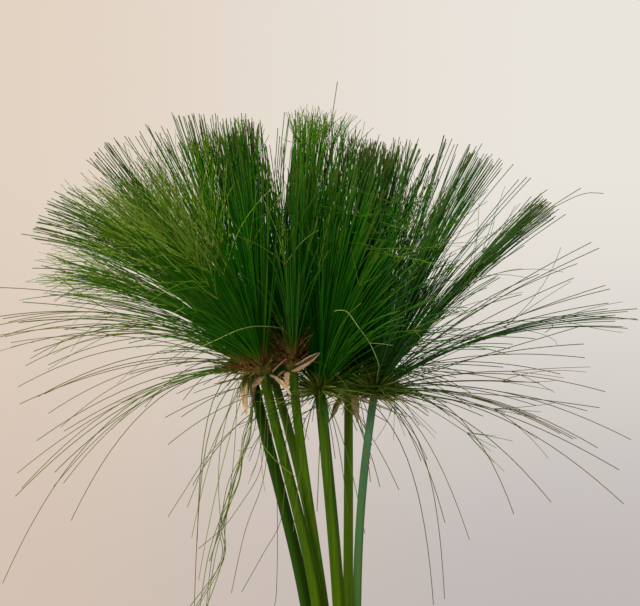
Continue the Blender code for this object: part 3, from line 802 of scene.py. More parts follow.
MOP_SEED = 100
HUB_RADIUS = 0.0080
KNOB_TONE = 0.2
KNOB_DRY = 0.7
CUT_TOLERANCE = 0.000001
RAY_START = 0.85
RAY_START_SCATTER = 0.25
RAY_STEP = 0.006
ROOT_STEPS = 5
FAR_STEPS = 3
RAY_ROOT_RADIUS = 0.00084
RAY_RADIUS = 0.00052
RAY_TIP_RADIUS = 0.00042
ROOT_TUBE_LENGTHS = (0.7, 1.2)
ROOT_TUBE_COLLAR = 0.8
ROOT_TUBE_FADE = 1.6
COOL_FROM_STEP = 6
COOL_STEPS = 8
TIP_DRY = (0.1, 0.5)
BEND_AT_ROOT = 0.83
BEND_AT_TIP = 0.33
RAY_CURL = 0.45
JOINT_LOW = (0.52, 0.74)
JOINT_HIGH = (0.84, 0.94)
THREAD_RADIUS = 0.00036
THREAD_TIP_RADIUS = 0.00024
THREADS_LOW = (3, 3, 4, 5)
THREADS_HIGH = 2
THREAD_CURL = 12.0
THREAD_OPENING = (4, 36)
THREAD_LENGTHS = (0.50, 1.05)
THREAD_SAGS = (1.0, 4.0)
THREAD_TIP_DRY = (0.1, 0.4)
THREAD_LIFT_LOW = (0.15, 0.80)
# How much lighter a thread is than its ray: partly the threads' own paler green, partly painted light, as
# threads stand out in the light while the ray roots lie in shade.
THREAD_LIFT_HIGH = (0.15, 0.35)
THREAD_BRIGHTEST = 1.25
THREAD_COOL_SHARE = 0.4
TANGLE_OPENING = (20, 80)
TANGLE_FLATNESS = 0.32
TANGLE_THREAD = 0.60
TANGLE_CURL = 13.0
SPIKE_SHARE_LOW = 0.5
SPIKE_SHARE_HIGH = 0.25
SPIKE_LEAN = 0.3
SPIKE_LENGTHS = (0.003, 0.006)
SPIKE_WIDEST = 0.4
SPIKE_RADII = (0.0005, 0.0008, 0.0002)
SPIKE_TONE = 0.4
SPIKE_DRY = 0.9
FAN_UNEVENNESS = 0.15
LOCK_COUNT = 18
LOCK_LENGTHS = (0.87, 1.0)
LOCK_COOLNESS = (0.4, 1.6)
LOCK_UNEVENNESS = (0.95, 1.0)
LOCK_TONE_SCATTER = 0.08
FEATHERY_COOL_SHARE = 0.5
FEATHERY_LEAN = -0.22
FEATHERY_ELSEWHERE = 0.03
FORKED_ELSEWHERE = 0.10
BUNDLE_DEPTH = 1.5
BUNDLE_THREADS = 3
BUNDLE_TONE_SCATTER = 0.10
BUNDLE_COOLNESS = (0.7, 1.2)
LOW_RAY_LOW_JOINTS = 0.7
LOW_RAY_TONES = (0.05, 0.60)
LOW_RAY_DRYNESS = (0.5, 1.3)
PALE_RAY_TONES = (0.9, 1.5)
PALE_RAY_DRY = (0.15, 0.50)
PARTING_STRAYS = 0.10
OBSTACLE_STEPS = 90
BRACT_ROOM = 0.0012
BRACT_SPOTS = (-0.8, 0, 0.8)
WIDEST_OBSTACLE = 0.010
RAY_ROOM = 0.0008
RAY_ROOT_CROWD = 0.022

# By umbel: how many rays stand up from it in a loose fan; the middle of the fan in degrees to the right
# and to the back of straight up, and how far it spreads each way; their length; how tightly they gather
# in locks; the share of the locks leaning to the left that are feathery; how bright and how bluish they
# are; how dry and brown their roots are, and how long that brown is.
UMBELS = {
    1: dict(count=90, tilt=(-22, 0), spread=(16, 30), length=0.262, pull=(0.2, 0.85), feathery=0.85,
            tone=(0.25, 0.70), cool=0.10, dry=0.90, tube=0.026),
    2: dict(count=90, tilt=(-18, -22), spread=(15, 18), length=0.244, pull=(0.2, 0.85), feathery=0.80,
            tone=(0.20, 0.60), cool=0.05, dry=0.85, tube=0.026),
    3: dict(count=180, tilt=(-7, 22), spread=(17, 22), length=0.242, pull=(0.3, 0.9), feathery=0.10,
            tone=(0.05, 0.35), cool=0.50, dry=0.80, tube=0.022),
    4: dict(count=130, tilt=(0, -12), spread=(18, 26), length=0.238, pull=(0.2, 0.8), feathery=0.25,
            tone=(0.05, 0.40), cool=0.20, dry=1.00, tube=0.036),
    5: dict(count=160, tilt=(5, -20), spread=(20, 20), length=0.256, pull=(0.2, 0.8), feathery=0.40,
            tone=(0.05, 0.40), cool=0.10, dry=0.45, tube=0.016),
    6: dict(count=160, tilt=(6, 22), spread=(20, 22), length=0.256, pull=(0.3, 0.9), feathery=0.10,
            tone=(0.00, 0.30), cool=0.60, dry=0.35, tube=0.016),
    7: dict(count=90, tilt=(6, 0), spread=(15, 30), length=0.260, pull=(0.6, 1.0), feathery=0.15,
            tone=(0.00, 0.40), cool=0.80, dry=0.80, tube=0.024),
}
UPRIGHT_SAG = (2.0, 5.5)

# How a bundle's rays end: the share that forks and where along the ray the joint is.
STRAIGHT, FUZZY, FEATHERY = (0.0, JOINT_HIGH), (0.9, JOINT_HIGH), (0.9, JOINT_LOW)

# By umbel, the bundles of rays that cling together and stand out of the fans: which way the bundle points
# in degrees to the right and to the back of straight up, how far it opens, lengths, sags, how many rays,
# how they end, how bright and how bluish.
BUNDLES = {
    1: (((-11, -3), 3.4, (0.234, 0.259), (0.0, 0.8), 34, STRAIGHT, 0.10, 0.20),
        ((-12, -7), 2.6, (0.226, 0.240), (0.2, 1.0), 26, FUZZY, 0.50, 0.00),
        ((-22, -6), 6.0, (0.225, 0.258), (3.5, 6.0), 20, FEATHERY, 0.45, 0.05),
        ((-28, -3), 5.0, (0.235, 0.260), (4.5, 6.0), 22, FEATHERY, 0.50, 0.05),
        ((-30, 6), 6.0, (0.225, 0.256), (3.5, 5.5), 22, FEATHERY, 0.25, 0.20)),
    2: (((-32, -4), 2.2, (0.254, 0.262), (0.6, 1.2), 13, STRAIGHT, 0.10, 0.30),
        ((-35, -8), 3.0, (0.244, 0.258), (0.8, 1.6), 8, STRAIGHT, 0.20, 0.20),
        ((-27, 0), 3.5, (0.244, 0.262), (0.6, 1.6), 7, STRAIGHT, 0.30, 0.10),
        ((-20, 4), 4.0, (0.244, 0.263), (0.6, 1.6), 16, STRAIGHT, 0.25, 0.20),
        ((-24, -14), 6.0, (0.225, 0.252), (3.5, 6.0), 12, FEATHERY, 0.45, 0.05),
        ((-5.5, -1), 5.0, (0.222, 0.238), (0.2, 1.0), 96, STRAIGHT, 0.02, 1.00),
        ((-4.5, -4), 5.0, (0.230, 0.240), (0.4, 1.2), 20, FUZZY, 0.35, 0.00),
        ((3, 3), 3.5, (0.215, 0.250), (0.4, 1.6), 34, STRAIGHT, 0.20, 0.20)),
    3: (((-9.5, 4), 4.5, (0.236, 0.247), (0.2, 1.0), 110, STRAIGHT, 0.02, 0.95),
        ((6, 8), 9.0, (0.180, 0.235), (1.0, 4.0), 80, STRAIGHT, 0.05, 0.50),
        ((3, 2), 9.0, (0.090, 0.165), (1.0, 4.0), 90, STRAIGHT, 0.05, 0.20)),
    4: (((0, 2), 3.5, (0.210, 0.245), (0.4, 1.6), 40, STRAIGHT, 0.15, 0.10),
        ((4.2, -3), 1.6, (0.232, 0.248), (0.2, 1.0), 60, FUZZY, 0.45, 0.00),
        ((9, 0), 3.5, (0.232, 0.252), (2.5, 4.0), 22, FUZZY, 0.35, 0.10),
        ((-1, 10), 9.0, (0.180, 0.230), (1.0, 4.0), 70, STRAIGHT, 0.05, 0.30),
        ((3, 8), 10.0, (0.060, 0.150), (1.0, 4.0), 70, STRAIGHT, 0.05, 0.10)),
    5: (((-6, 9), 8.0, (0.160, 0.225), (1.0, 4.0), 70, STRAIGHT, 0.05, 0.20),
        ((8, -2), 6.0, (0.236, 0.250), (0.8, 2.0), 84, STRAIGHT, 0.10, 0.60),
        ((-18, 6), 11.0, (0.040, 0.130), (1.0, 4.0), 60, STRAIGHT, 0.05, 0.10)),
    6: (((16, 9), 8.0, (0.150, 0.220), (1.0, 4.0), 60, STRAIGHT, 0.10, 0.60),
        ((6.5, 5), 6.0, (0.230, 0.246), (0.8, 2.0), 110, STRAIGHT, 0.03, 1.00),
        ((13, 3), 2.6, (0.246, 0.258), (2.0, 3.5), 38, STRAIGHT, 0.15, 0.80),
        ((-5, 10), 9.0, (0.180, 0.230), (1.0, 4.0), 80, STRAIGHT, 0.05, 0.50),
        ((14, 4), 12.0, (0.050, 0.140), (1.0, 4.0), 70, STRAIGHT, 0.05, 0.10),
        ((-14, 6), 15.0, (0.025, 0.090), (1.0, 4.0), 60, STRAIGHT, 0.05, 0.10)),
    7: (((13.5, 0), 2.3, (0.248, 0.262), (3.0, 4.0), 32, STRAIGHT, 0.15, 0.70),
        ((17.5, 4), 2.2, (0.248, 0.259), (2.6, 3.4), 32, STRAIGHT, 0.20, 0.70),
        ((19.5, 1), 1.8, (0.250, 0.260), (4.2, 5.0), 24, STRAIGHT, 0.25, 0.60),
        ((26.5, -2), 1.2, (0.252, 0.262), (3.6, 4.4), 9, STRAIGHT, 0.25, 0.50),
        ((26, 3), 8.0, (0.080, 0.160), (2.0, 4.0), 64, STRAIGHT, 0.08, 0.50),
        ((-8, 8), 13.0, (0.040, 0.130), (1.0, 4.0), 80, STRAIGHT, 0.05, 0.10)),
}

# The clump parts in places like hair, in narrow wedges that are open at the top. They are seen from
# straight in front, level with the umbels: how far to the right and how high the foot of the wedge is, how
# far it leans to the right and how far it opens each way, per unit of height.
SEEN_FROM = Vector((-0.020, -1.6, 0.622))
PARTINGS = (
    (-0.057, 0.706, -0.06, 0.170),
    (0.056, 0.715, 0.52, 0.055),
    (0.078, 0.692, 0.50, 0.060),
    (0.113, 0.670, 0.76, 0.110),
    (0.121, 0.672, 1.15, 0.070),
)

# By umbel, the groups of rays that stand or hang outside the fans or fill them from within: headings in
# degrees (0 is +X, -90 the front), angles from straight up at the knob, lengths, sags, how many, the share
# that forks, and how dry they are.
LOW_RAYS = {
    1: (((168, 192), (27.5, 35), (0.252, 0.262), (6.0, 6.8), 52, 0.15, 0.20),
        ((172, 190), (26, 36), (0.225, 0.256), (5.5, 7.0), 40, 0.70, 0.10),
        ((168, 194), (37, 42), (0.215, 0.252), (6.6, 8.0), 40, 0.95, 0.20),
        ((215, 250), (30, 56), (0.185, 0.230), (3.0, 5.0), 30, 0.20, 0.05),
        ((110, 145), (30, 62), (0.185, 0.235), (3.0, 5.0), 44, 0.10, 0.05),
        ((158, 202), (50, 62), (0.235, 0.262), (5.0, 8.0), 15, 0.40, 0.50),
        ((150, 214), (66, 92), (0.190, 0.262), (5.0, 9.0), 9, 0.10, 0.60),
        ((-15, 40), (45, 85), (0.180, 0.240), (3.5, 6.0), 10, 0.30, 0.20)),
    2: (((215, 245), (30, 60), (0.180, 0.225), (3.0, 5.0), 26, 0.20, 0.05),
        ((176, 205), (48, 92), (0.190, 0.255), (4.0, 9.0), 5, 0.10, 0.60),
        ((22, 60), (50, 88), (0.180, 0.240), (3.5, 6.0), 12, 0.30, 0.20),
        ((-108, -78), (16, 40), (0.195, 0.230), (3.0, 5.0), 30, 0.04, 0.05),
        ((-165, -100), (38, 62), (0.200, 0.245), (3.0, 5.0), 50, 0.12, 0.05)),
    3: (((120, 178), (44, 80), (0.190, 0.250), (4.0, 8.0), 10, 0.20, 0.50),
        ((50, 130), (12, 80), (0.200, 0.250), (3.5, 7.0), 90, 0.10, 0.10),
        ((0, 75), (40, 90), (0.180, 0.240), (3.5, 6.0), 16, 0.40, 0.20)),
    4: (((168, 205), (42, 75), (0.180, 0.240), (3.0, 6.0), 5, 0.30, 0.40),
        ((15, 50), (40, 88), (0.150, 0.230), (3.5, 7.0), 12, 0.30, 0.20),
        ((50, 130), (12, 90), (0.180, 0.250), (4.0, 8.0), 70, 0.10, 0.10),
        ((-104, -76), (14, 38), (0.205, 0.240), (3.0, 5.0), 22, 0.04, 0.05),
        ((-100, -80), (38, 55), (0.185, 0.225), (3.0, 5.0), 22, 0.05, 0.05)),
    5: (((180, 360), (80, 104), (0.030, 0.090), (4.0, 9.0), 26, 0.00, 0.60),
        ((160, 202), (32, 62), (0.180, 0.240), (3.0, 6.0), 16, 0.30, 0.25),
        ((195, 212), (66, 84), (0.150, 0.220), (4.0, 7.0), 3, 0.10, 0.35),
        ((140, 215), (60, 98), (0.050, 0.120), (4.0, 7.0), 22, 0.10, 0.20),
        ((-30, -4), (50, 86), (0.120, 0.220), (3.5, 7.0), 12, 0.20, 0.15),
        ((40, 140), (12, 95), (0.180, 0.250), (4.0, 8.0), 90, 0.10, 0.10),
        ((-90, -62), (20, 40), (0.210, 0.250), (3.0, 5.0), 30, 0.04, 0.05),
        ((-80, -52), (38, 58), (0.200, 0.250), (3.0, 5.0), 38, 0.05, 0.05),
        ((-110, -50), (100, 135), (0.080, 0.190), (8, 26), 7, 0.00, 0.30)),
    6: (((180, 360), (80, 104), (0.030, 0.080), (4.0, 9.0), 26, 0.00, 0.60),
        ((50, 130), (10, 90), (0.190, 0.255), (3.5, 8.0), 110, 0.10, 0.10),
        ((140, 195), (34, 75), (0.180, 0.240), (3.0, 6.0), 14, 0.30, 0.25),
        ((-4, 30), (60, 88), (0.190, 0.255), (3.0, 6.0), 4, 0.20, 0.50)),
    7: (((170, 330), (76, 100), (0.030, 0.080), (4.0, 9.0), 24, 0.00, 0.60),
        ((140, 200), (30, 70), (0.180, 0.240), (3.0, 6.0), 18, 0.30, 0.25),
        ((60, 130), (10, 70), (0.190, 0.250), (4.0, 7.0), 50, 0.10, 0.10),
        ((195, 215), (66, 84), (0.120, 0.200), (4.0, 7.0), 7, 0.10, 0.35),
        ((-7, 7), (19.5, 21), (0.248, 0.264), (5.6, 6.2), 3, 0.20, 0.25),
        ((-80, -50), (16, 40), (0.210, 0.250), (3.0, 5.0), 26, 0.04, 0.10),
        ((-88, -50), (38, 62), (0.200, 0.250), (3.0, 5.0), 42, 0.06, 0.10),
        ((-8, 8), (32.5, 36.5), (0.240, 0.256), (1.8, 2.8), 66, 0.25, 0.15),
        ((-20, 30), (30, 44), (0.215, 0.262), (3.5, 5.5), 3, 0.15, 0.25),
        ((-20, 25), (42, 60), (0.235, 0.265), (1.5, 4.0), 5, 0.15, 0.40),
        ((-1.5, 2), (54, 55), (0.246, 0.268), (4.1, 4.4), 13, 0.20, 0.10),
        ((-30, 34), (60, 90), (0.180, 0.262), (2.5, 6.0), 12, 0.20, 0.60),
        ((-55, 60), (84, 104), (0.170, 0.230), (6.0, 15.0), 3, 0.10, 0.55)),
}

# By umbel, the forked rays that lean to the front, so that their threads are seen end on and curl into a
# tangle: where the joint is, how many threads it has and how long they are.
TANGLES = {
    4: (((-0.040, -0.110, 0.770), 4, 0.036),),
    5: (((0.018, -0.120, 0.702), 9, 0.048),),
    7: (((0.049, -0.130, 0.664), 14, 0.064), ((0.034, -0.118, 0.686), 11, 0.056),
        ((0.068, -0.110, 0.672), 14, 0.052), ((0.058, -0.105, 0.690), 14, 0.048),
        ((0.076, -0.095, 0.690), 12, 0.044), ((0.050, -0.095, 0.716), 10, 0.042),
        ((0.088, -0.090, 0.676), 10, 0.046), ((0.072, -0.120, 0.660), 12, 0.052)),
}
TANGLE_BOW = 0.22
TANGLE_STEPS = 25
TANGLE_TUBE_STEPS = 4
TANGLE_TONE = 0.2
TANGLE_THREAD_TONES = (0.05, 0.35)

# By umbel, the pale rays that hang down beside a stem or stand out short round a knob: headings, angles,
# lengths, sags, how many.
PALE_RAYS = {
    1: (((165, 210), (120, 160), (0.130, 0.220), (2, 16), 3),
        ((246, 292), (96, 122), (0.022, 0.046), (25, 60), 16)),
    5: (((190, 350), (76, 100), (0.015, 0.050), (4, 9), 16),),
    6: (((190, 350), (76, 100), (0.015, 0.050), (4, 9), 14),),
    7: (((200, 350), (60, 98), (0.015, 0.060), (4, 9), 34),),
}

# By umbel, the fibres that stand between the roots of the rays, left from old leaves: headings, angles
# from straight up, lengths, how many, and how dry they are, from brown at 1 to yellowish at a third.
FIBRES = {
    1: (((150, 215), (55, 95), (0.012, 0.034), 46, 1.0), ((-90, 90), (20, 100), (0.008, 0.022), 30, 1.0)),
    2: (((160, 305), (50, 100), (0.010, 0.026), 36, 1.0),),
    3: (((0, 360), (40, 100), (0.010, 0.024), 24, 1.0),),
    4: (((0, 360), (4, 40), (0.018, 0.054), 100, 1.0), ((150, 390), (50, 100), (0.008, 0.020), 36, 1.0)),
    5: (((150, 390), (40, 100), (0.008, 0.022), 44, 0.5),
        ((190, 380), (50, 92), (0.014, 0.042), 90, 0.35)),
    6: (((150, 390), (40, 100), (0.008, 0.022), 40, 0.5),
        ((180, 360), (50, 92), (0.014, 0.042), 110, 0.35)),
    7: (((150, 400), (12, 95), (0.010, 0.028), 50, 0.9), ((200, 360), (20, 95), (0.010, 0.026), 90, 0.35),
        ((180, 300), (50, 92), (0.014, 0.040), 80, 0.35)),
}
FIBRE_RADIUS = 0.0009
FIBRE_THINNEST = 0.25
FIBRE_TAPER = 0.75
FIBRE_CURL = 14.0
FIBRE_SAGS = (0, 14)
FIBRE_START = 0.8
FIBRE_DRYNESS = (0.8, 1.0)
FIBRE_TONE = 1.25
FIBRE_BROWNING = 0.35

# By umbel, the single rays that set how far the plant spreads, or that hang out on their own: heading,
# angle from straight up, length and sag.
LONE_RAYS = {
    1: ((186, 86, 0.337, 8.6), (206, 88, 0.262, 6.5), (172, 65, 0.251, 4.2), (184, 27, 0.263, 8.1),
        (224, 86, 0.190, 34.0), (180, 62, 0.251, 4.1), (180, 92, 0.249, 5.5), (190, 84, 0.237, 11.8)),
    2: ((206, 95, 0.265, 30.0),),
    4: ((0, 10, 0.278, 0.0), (-20, 68, 0.153, 33.7)),
    6: ((346, 90, 0.250, 22.0), (-30, 95, 0.173, 18.1), (-20, 110, 0.240, 17.4)),
    7: ((0, 48, 0.277, 5.4), (8, 79, 0.271, 4.6), (352, 86, 0.268, 5.1), (5, 31, 0.290, 4.6),
        (338, 95, 0.200, 19.0), (-8, 74, 0.200, 17.2), (4, 24, 0.253, 6.0), (6, 57, 0.260, 1.6),
        (-4, 88, 0.213, 1.7), (10, 72, 0.217, 1.0)),
}
LONE_TONE = 0.45
LONE_DRY = 0.60

# A loose bunch of pale rays hangs down to the left of the stems: the points that its middle runs through,
# each with how far the rays lie apart there, and at which of the points a ray may end.
HANGING_BUNCH = (
    (-0.0900, 0.000, 0.5540, 0.003), (-0.0875, -0.012, 0.5476, 0.005), (-0.0858, -0.020, 0.5144, 0.004),
    (-0.0920, -0.030, 0.4895, 0.005), (-0.1032, -0.040, 0.4494, 0.006), (-0.1147, -0.040, 0.4080, 0.004),
    (-0.1230, -0.040, 0.3700, 0.009), (-0.1390, -0.040, 0.3180, 0.016),
)
BUNCH_UMBEL = 1
BUNCH_COUNT = 9
BUNCH_ENDS = (6, 7, 8, 8)
BUNCH_RADIUS = 0.00042
BUNCH_TONES = (0.8, 1.5)
BUNCH_COOL = 0.2
BUNCH_DRY = (0.05, 0.35)

# By umbel, the rays that have been knocked out of shape, or hang on their own: how dry each is, how many
# threads it ends in, and the points that its middle line runs through.
BENT_RAYS = {
    1: ((0.6, 0, ((-0.090, 0.000, 0.554), (-0.1005, -0.030, 0.5464), (-0.1152, -0.030, 0.4944),
                  (-0.1195, -0.030, 0.4565), (-0.1181, -0.030, 0.4150), (-0.1142, -0.030, 0.4032))),
        (0.6, 0, ((-0.090, 0.000, 0.554), (-0.0995, -0.030, 0.5464), (-0.1028, -0.030, 0.4984),
                  (-0.1054, -0.030, 0.4630), (-0.1086, -0.030, 0.4385)))),
    2: ((0.1, 0, ((-0.075, -0.048, 0.562), (-0.072, -0.060, 0.540), (-0.067, -0.062, 0.500),
                  (-0.062, -0.062, 0.448), (-0.061, -0.060, 0.395), (-0.062, -0.058, 0.345),
                  (-0.064, -0.056, 0.330))),
        (0.5, 0, ((-0.0742, -0.050, 0.5552), (-0.0723, -0.054, 0.5232), (-0.0743, -0.052, 0.4844),
                  (-0.0796, -0.050, 0.4554), (-0.0975, -0.050, 0.4263), (-0.1140, -0.050, 0.4044),
                  (-0.1379, -0.050, 0.3839))),
        (0.5, 0, ((-0.0731, -0.050, 0.5554), (-0.0702, -0.055, 0.5090), (-0.0746, -0.055, 0.4525),
                  (-0.0924, -0.055, 0.4018), (-0.1056, -0.055, 0.3420))),
        (0.2, 5, ((-0.0760, -0.048, 0.5540), (-0.0780, -0.052, 0.5200), (-0.0770, -0.052, 0.4870)))),
    3: ((0.6, 0, ((-0.069, 0.044, 0.544), (-0.0733, 0.040, 0.5226), (-0.0832, 0.030, 0.5059),
                  (-0.1069, 0.030, 0.4951), (-0.1361, 0.030, 0.4641), (-0.1586, 0.030, 0.4295),
                  (-0.1749, 0.030, 0.4040))),),
    4: ((0.0, 0, ((-0.049, -0.030, 0.570), (-0.050, -0.036, 0.586), (-0.056, -0.062, 0.597),
                  (-0.078, -0.086, 0.600), (-0.096, -0.100, 0.597), (-0.116, -0.100, 0.588),
                  (-0.138, -0.100, 0.578))),
        (0.1, 0, ((-0.047, -0.036, 0.566), (-0.048, -0.050, 0.550), (-0.043, -0.056, 0.510),
                  (-0.040, -0.056, 0.470), (-0.036, -0.056, 0.430), (-0.026, -0.054, 0.375),
                  (-0.018, -0.052, 0.345))),
        (0.5, 0, ((-0.047, -0.034, 0.562), (-0.0518, -0.060, 0.5094), (-0.0537, -0.060, 0.4565),
                  (-0.0580, -0.060, 0.4122), (-0.0743, -0.060, 0.3814), (-0.0956, -0.060, 0.3438)))),
    7: ((0.0, 0, ((0.035, -0.004, 0.538), (0.036, -0.060, 0.556), (0.0345, -0.105, 0.566),
                  (0.026, -0.120, 0.585), (0.016, -0.124, 0.599), (0.006, -0.126, 0.613),
                  (-0.001, -0.126, 0.6155), (-0.007, -0.124, 0.6145))),
        (0.0, 0, ((0.026, -0.120, 0.585), (0.036, -0.124, 0.5845), (0.047, -0.126, 0.583))),
        (0.3, 0, ((0.035, -0.004, 0.538), (0.090, -0.006, 0.600), (0.150, -0.008, 0.660),
                  (0.198, -0.008, 0.706), (0.222, -0.008, 0.722), (0.244, -0.008, 0.731),
                  (0.262, -0.008, 0.731))),
        (0.3, 0, ((0.035, 0.004, 0.536), (0.100, 0.006, 0.566), (0.160, 0.008, 0.592),
                  (0.196, 0.008, 0.603), (0.214, 0.008, 0.600), (0.206, 0.008, 0.592))),
        (0.2, 6, ((0.035, -0.004, 0.529), (0.079, -0.006, 0.521), (0.126, -0.008, 0.493)))),
}
BENT_END_THREADS = 0.055
BENT_RADIUS = 0.00036
BENT_FRESH_TONE = 1.4
BENT_DRY_TONE = 0.25

RAY_DEEP = (0.005, 0.078, 0.001, 1)
RAY_GREEN = (0.026, 0.230, 0.002, 1)
RAY_LIGHT = (0.250, 0.420, 0.026, 1)
RAY_PALE = (0.420, 0.560, 0.180, 1)
RAY_BLUISH_DEEP = (0.006, 0.072, 0.016, 1)
RAY_BLUISH = (0.060, 0.200, 0.080, 1)
RAY_OLIVE = (0.180, 0.165, 0.030, 1)
ROOT_TUBE_DARK = (0.068, 0.030, 0.008, 1)
ROOT_TUBE_TAN = (0.640, 0.360, 0.115, 1)
ROOT_TUBE_PATCHES = (420, 0.40, 0.66)
RAY_GRAIN = (1500, 0.3, 0.7)
RAY_GRAIN_DEPTH = 0.00015
OLIVE_AT = 0.65
BROWN_AT = 0.95


def ray_skin():
    """The finish of rays and threads. Tone goes from deep green at 0 over light green at 1 to pale at 1.5,
    and dry goes from living over olive to the brown of a husk."""
    finish, tree, shader, place = new_finish("ray_green", 0.60, 0.03)
    tone, dry, cool = measured(tree, "tone"), measured(tree, "dry"), measured(tree, "cool")
    green = blended(tree, rising(tree, tone, 0.0, 0.5), RAY_DEEP, RAY_GREEN)
    green = blended(tree, rising(tree, tone, 0.5, 1.0), green, RAY_LIGHT)
    green = blended(tree, rising(tree, tone, 1.0, 1.5), green, RAY_PALE)
    bluish = blended(tree, tone, RAY_BLUISH_DEEP, RAY_BLUISH)
    living = blended(tree, cool, green, bluish)
    husk = blended(tree, patches(tree, place, *ROOT_TUBE_PATCHES), ROOT_TUBE_DARK, ROOT_TUBE_TAN)
    wilted = blended(tree, rising(tree, dry, 0.0, OLIVE_AT), living, RAY_OLIVE)
    colour_with(tree, shader, blended(tree, rising(tree, dry, OLIVE_AT, BROWN_AT), wilted, husk))
    roughen(tree, shader, patches(tree, place, *RAY_GRAIN), RAY_GRAIN_DEPTH)
    return finish


class Mop:
    """Gathers the knob, rays and threads of one umbel into one mesh."""

    def __init__(self):
        self.points, self.faces = [], []
        self.tone, self.cool, self.dry = [], [], []

    def mark(self, corners, tone, cool, dry):
        self.tone += [tone] * corners
        self.cool += [cool] * corners
        self.dry += [dry] * corners

    def tube(self, line, radii, tone, cool, dry):
        """A three-cornered tapering tube along the line, closed at both ends. It goes over to the bluish
        tone on its way out."""
        side = (line[1] - line[0]).orthogonal().normalized()
        first = len(self.points)
        last = len(line) - 1
        for i, (point, radius) in enumerate(zip(line, radii)):
            along = (line[min(i + 1, last)] - line[max(i - 1, 0)]).normalized()
            side = (side - along * side.dot(along)).normalized()
            up = along.cross(side)
            for corner in range(3):
                angle = math.tau * corner / 3
                self.points.append(point + (side * math.cos(angle) + up * math.sin(angle)) * radius)
            self.mark(3, tone, cool if i >= COOL_FROM_STEP else cool * i / COOL_STEPS, dry[i])
            if i < last:
                low = first + 3 * i
                for a, b in ((0, 1), (1, 2), (2, 0)):
                    self.faces.append((low + a, low + b, low + 3 + b, low + 3 + a))
        top = first + 3 * last
        self.faces += [(first + 2, first + 1, first), (top, top + 1, top + 2)]

    def knob(self, stem, dry):
        """The knob that the rays grow from, cut flat where it sits on the stem."""
        hub, lean = Vector(stem["hub"]), Vector((*stem["lean"], 1.0)).normalized()
        bm = bmesh.new()
        bmesh.ops.create_icosphere(bm, subdivisions=3, radius=HUB_RADIUS)
        bmesh.ops.translate(bm, vec=hub, verts=bm.verts)
        cut = bmesh.ops.bisect_plane(bm, geom=bm.verts[:] + bm.edges[:] + bm.faces[:], dist=CUT_TOLERANCE,
                                     plane_co=hub - lean * HUB_CUT, plane_no=lean, clear_inner=True)
        rim = [item for item in cut["geom_cut"] if isinstance(item, bmesh.types.BMEdge)]
        bmesh.ops.holes_fill(bm, edges=rim)
        bmesh.ops.recalc_face_normals(bm, faces=bm.faces)
        first = len(self.points)
        self.points += [vert.co.copy() for vert in bm.verts]
        self.faces += [tuple(first + vert.index for vert in face.verts) for face in bm.faces]
        self.mark(len(bm.verts), KNOB_TONE, 0.0, dry)
        bm.free()


def ray_line(start, way, length, sag, curl):
    """A ray's middle line: a springy stalk that its own weight bends most near the root."""
    points, point, along = [start.copy()], start.copy(), way.normalized()
    steps = max(2, round(length / RAY_STEP))
    for step in range(steps):
        left = BEND_AT_ROOT + (BEND_AT_TIP - BEND_AT_ROOT) * step / steps
        fall = Vector((0, 0, -1)) - along * -along.z
        along = (along + (fall * sag * left + curl) * RAY_STEP).normalized()
        point = point + along * RAY_STEP
        points.append(point.copy())
    return points


def heading_way(heading, from_up):
    """A way with this heading, this many degrees away from straight up."""
    heading, from_up = math.radians(heading), math.radians(from_up)
    return Vector((math.cos(heading) * math.sin(from_up), math.sin(heading) * math.sin(from_up),
                   math.cos(from_up)))


def tilted_way(sideways, back):
    """A way that leans this many degrees to the right and to the back of straight up."""
    return Vector((math.tan(math.radians(sideways)), math.tan(math.radians(back)), 1)).normalized()


def fan_ways(look, draw):
    """Ways spread evenly over an oval fan round the middle of the umbel."""
    golden = math.pi * (3 - math.sqrt(5))
    for i in range(look["count"]):
        out = math.sqrt((i + 0.5) / look["count"])
        turn = golden * i + draw.uniform(-FAN_UNEVENNESS, FAN_UNEVENNESS)
        yield tilted_way(look["tilt"][0] + look["spread"][0] * out * math.cos(turn),
                         look["tilt"][1] + look["spread"][1] * out * math.sin(turn))


def in_parting(line):
    """True if the ray runs through one of the wedges, as they are seen from the front."""
    for point in line[::2]:
        nearness = -SEEN_FROM.y / (point.y - SEEN_FROM.y)
        seen = SEEN_FROM + (point - SEEN_FROM) * nearness
        for right, foot, lean, opening in PARTINGS:
            above = seen.z - foot
            if abs(seen.x - right - above * lean) < above * opening:
                return True
    return False


def any_way(draw):
    return Vector((draw.gauss(0, 1), draw.gauss(0, 1), draw.gauss(0, 1))).normalized()


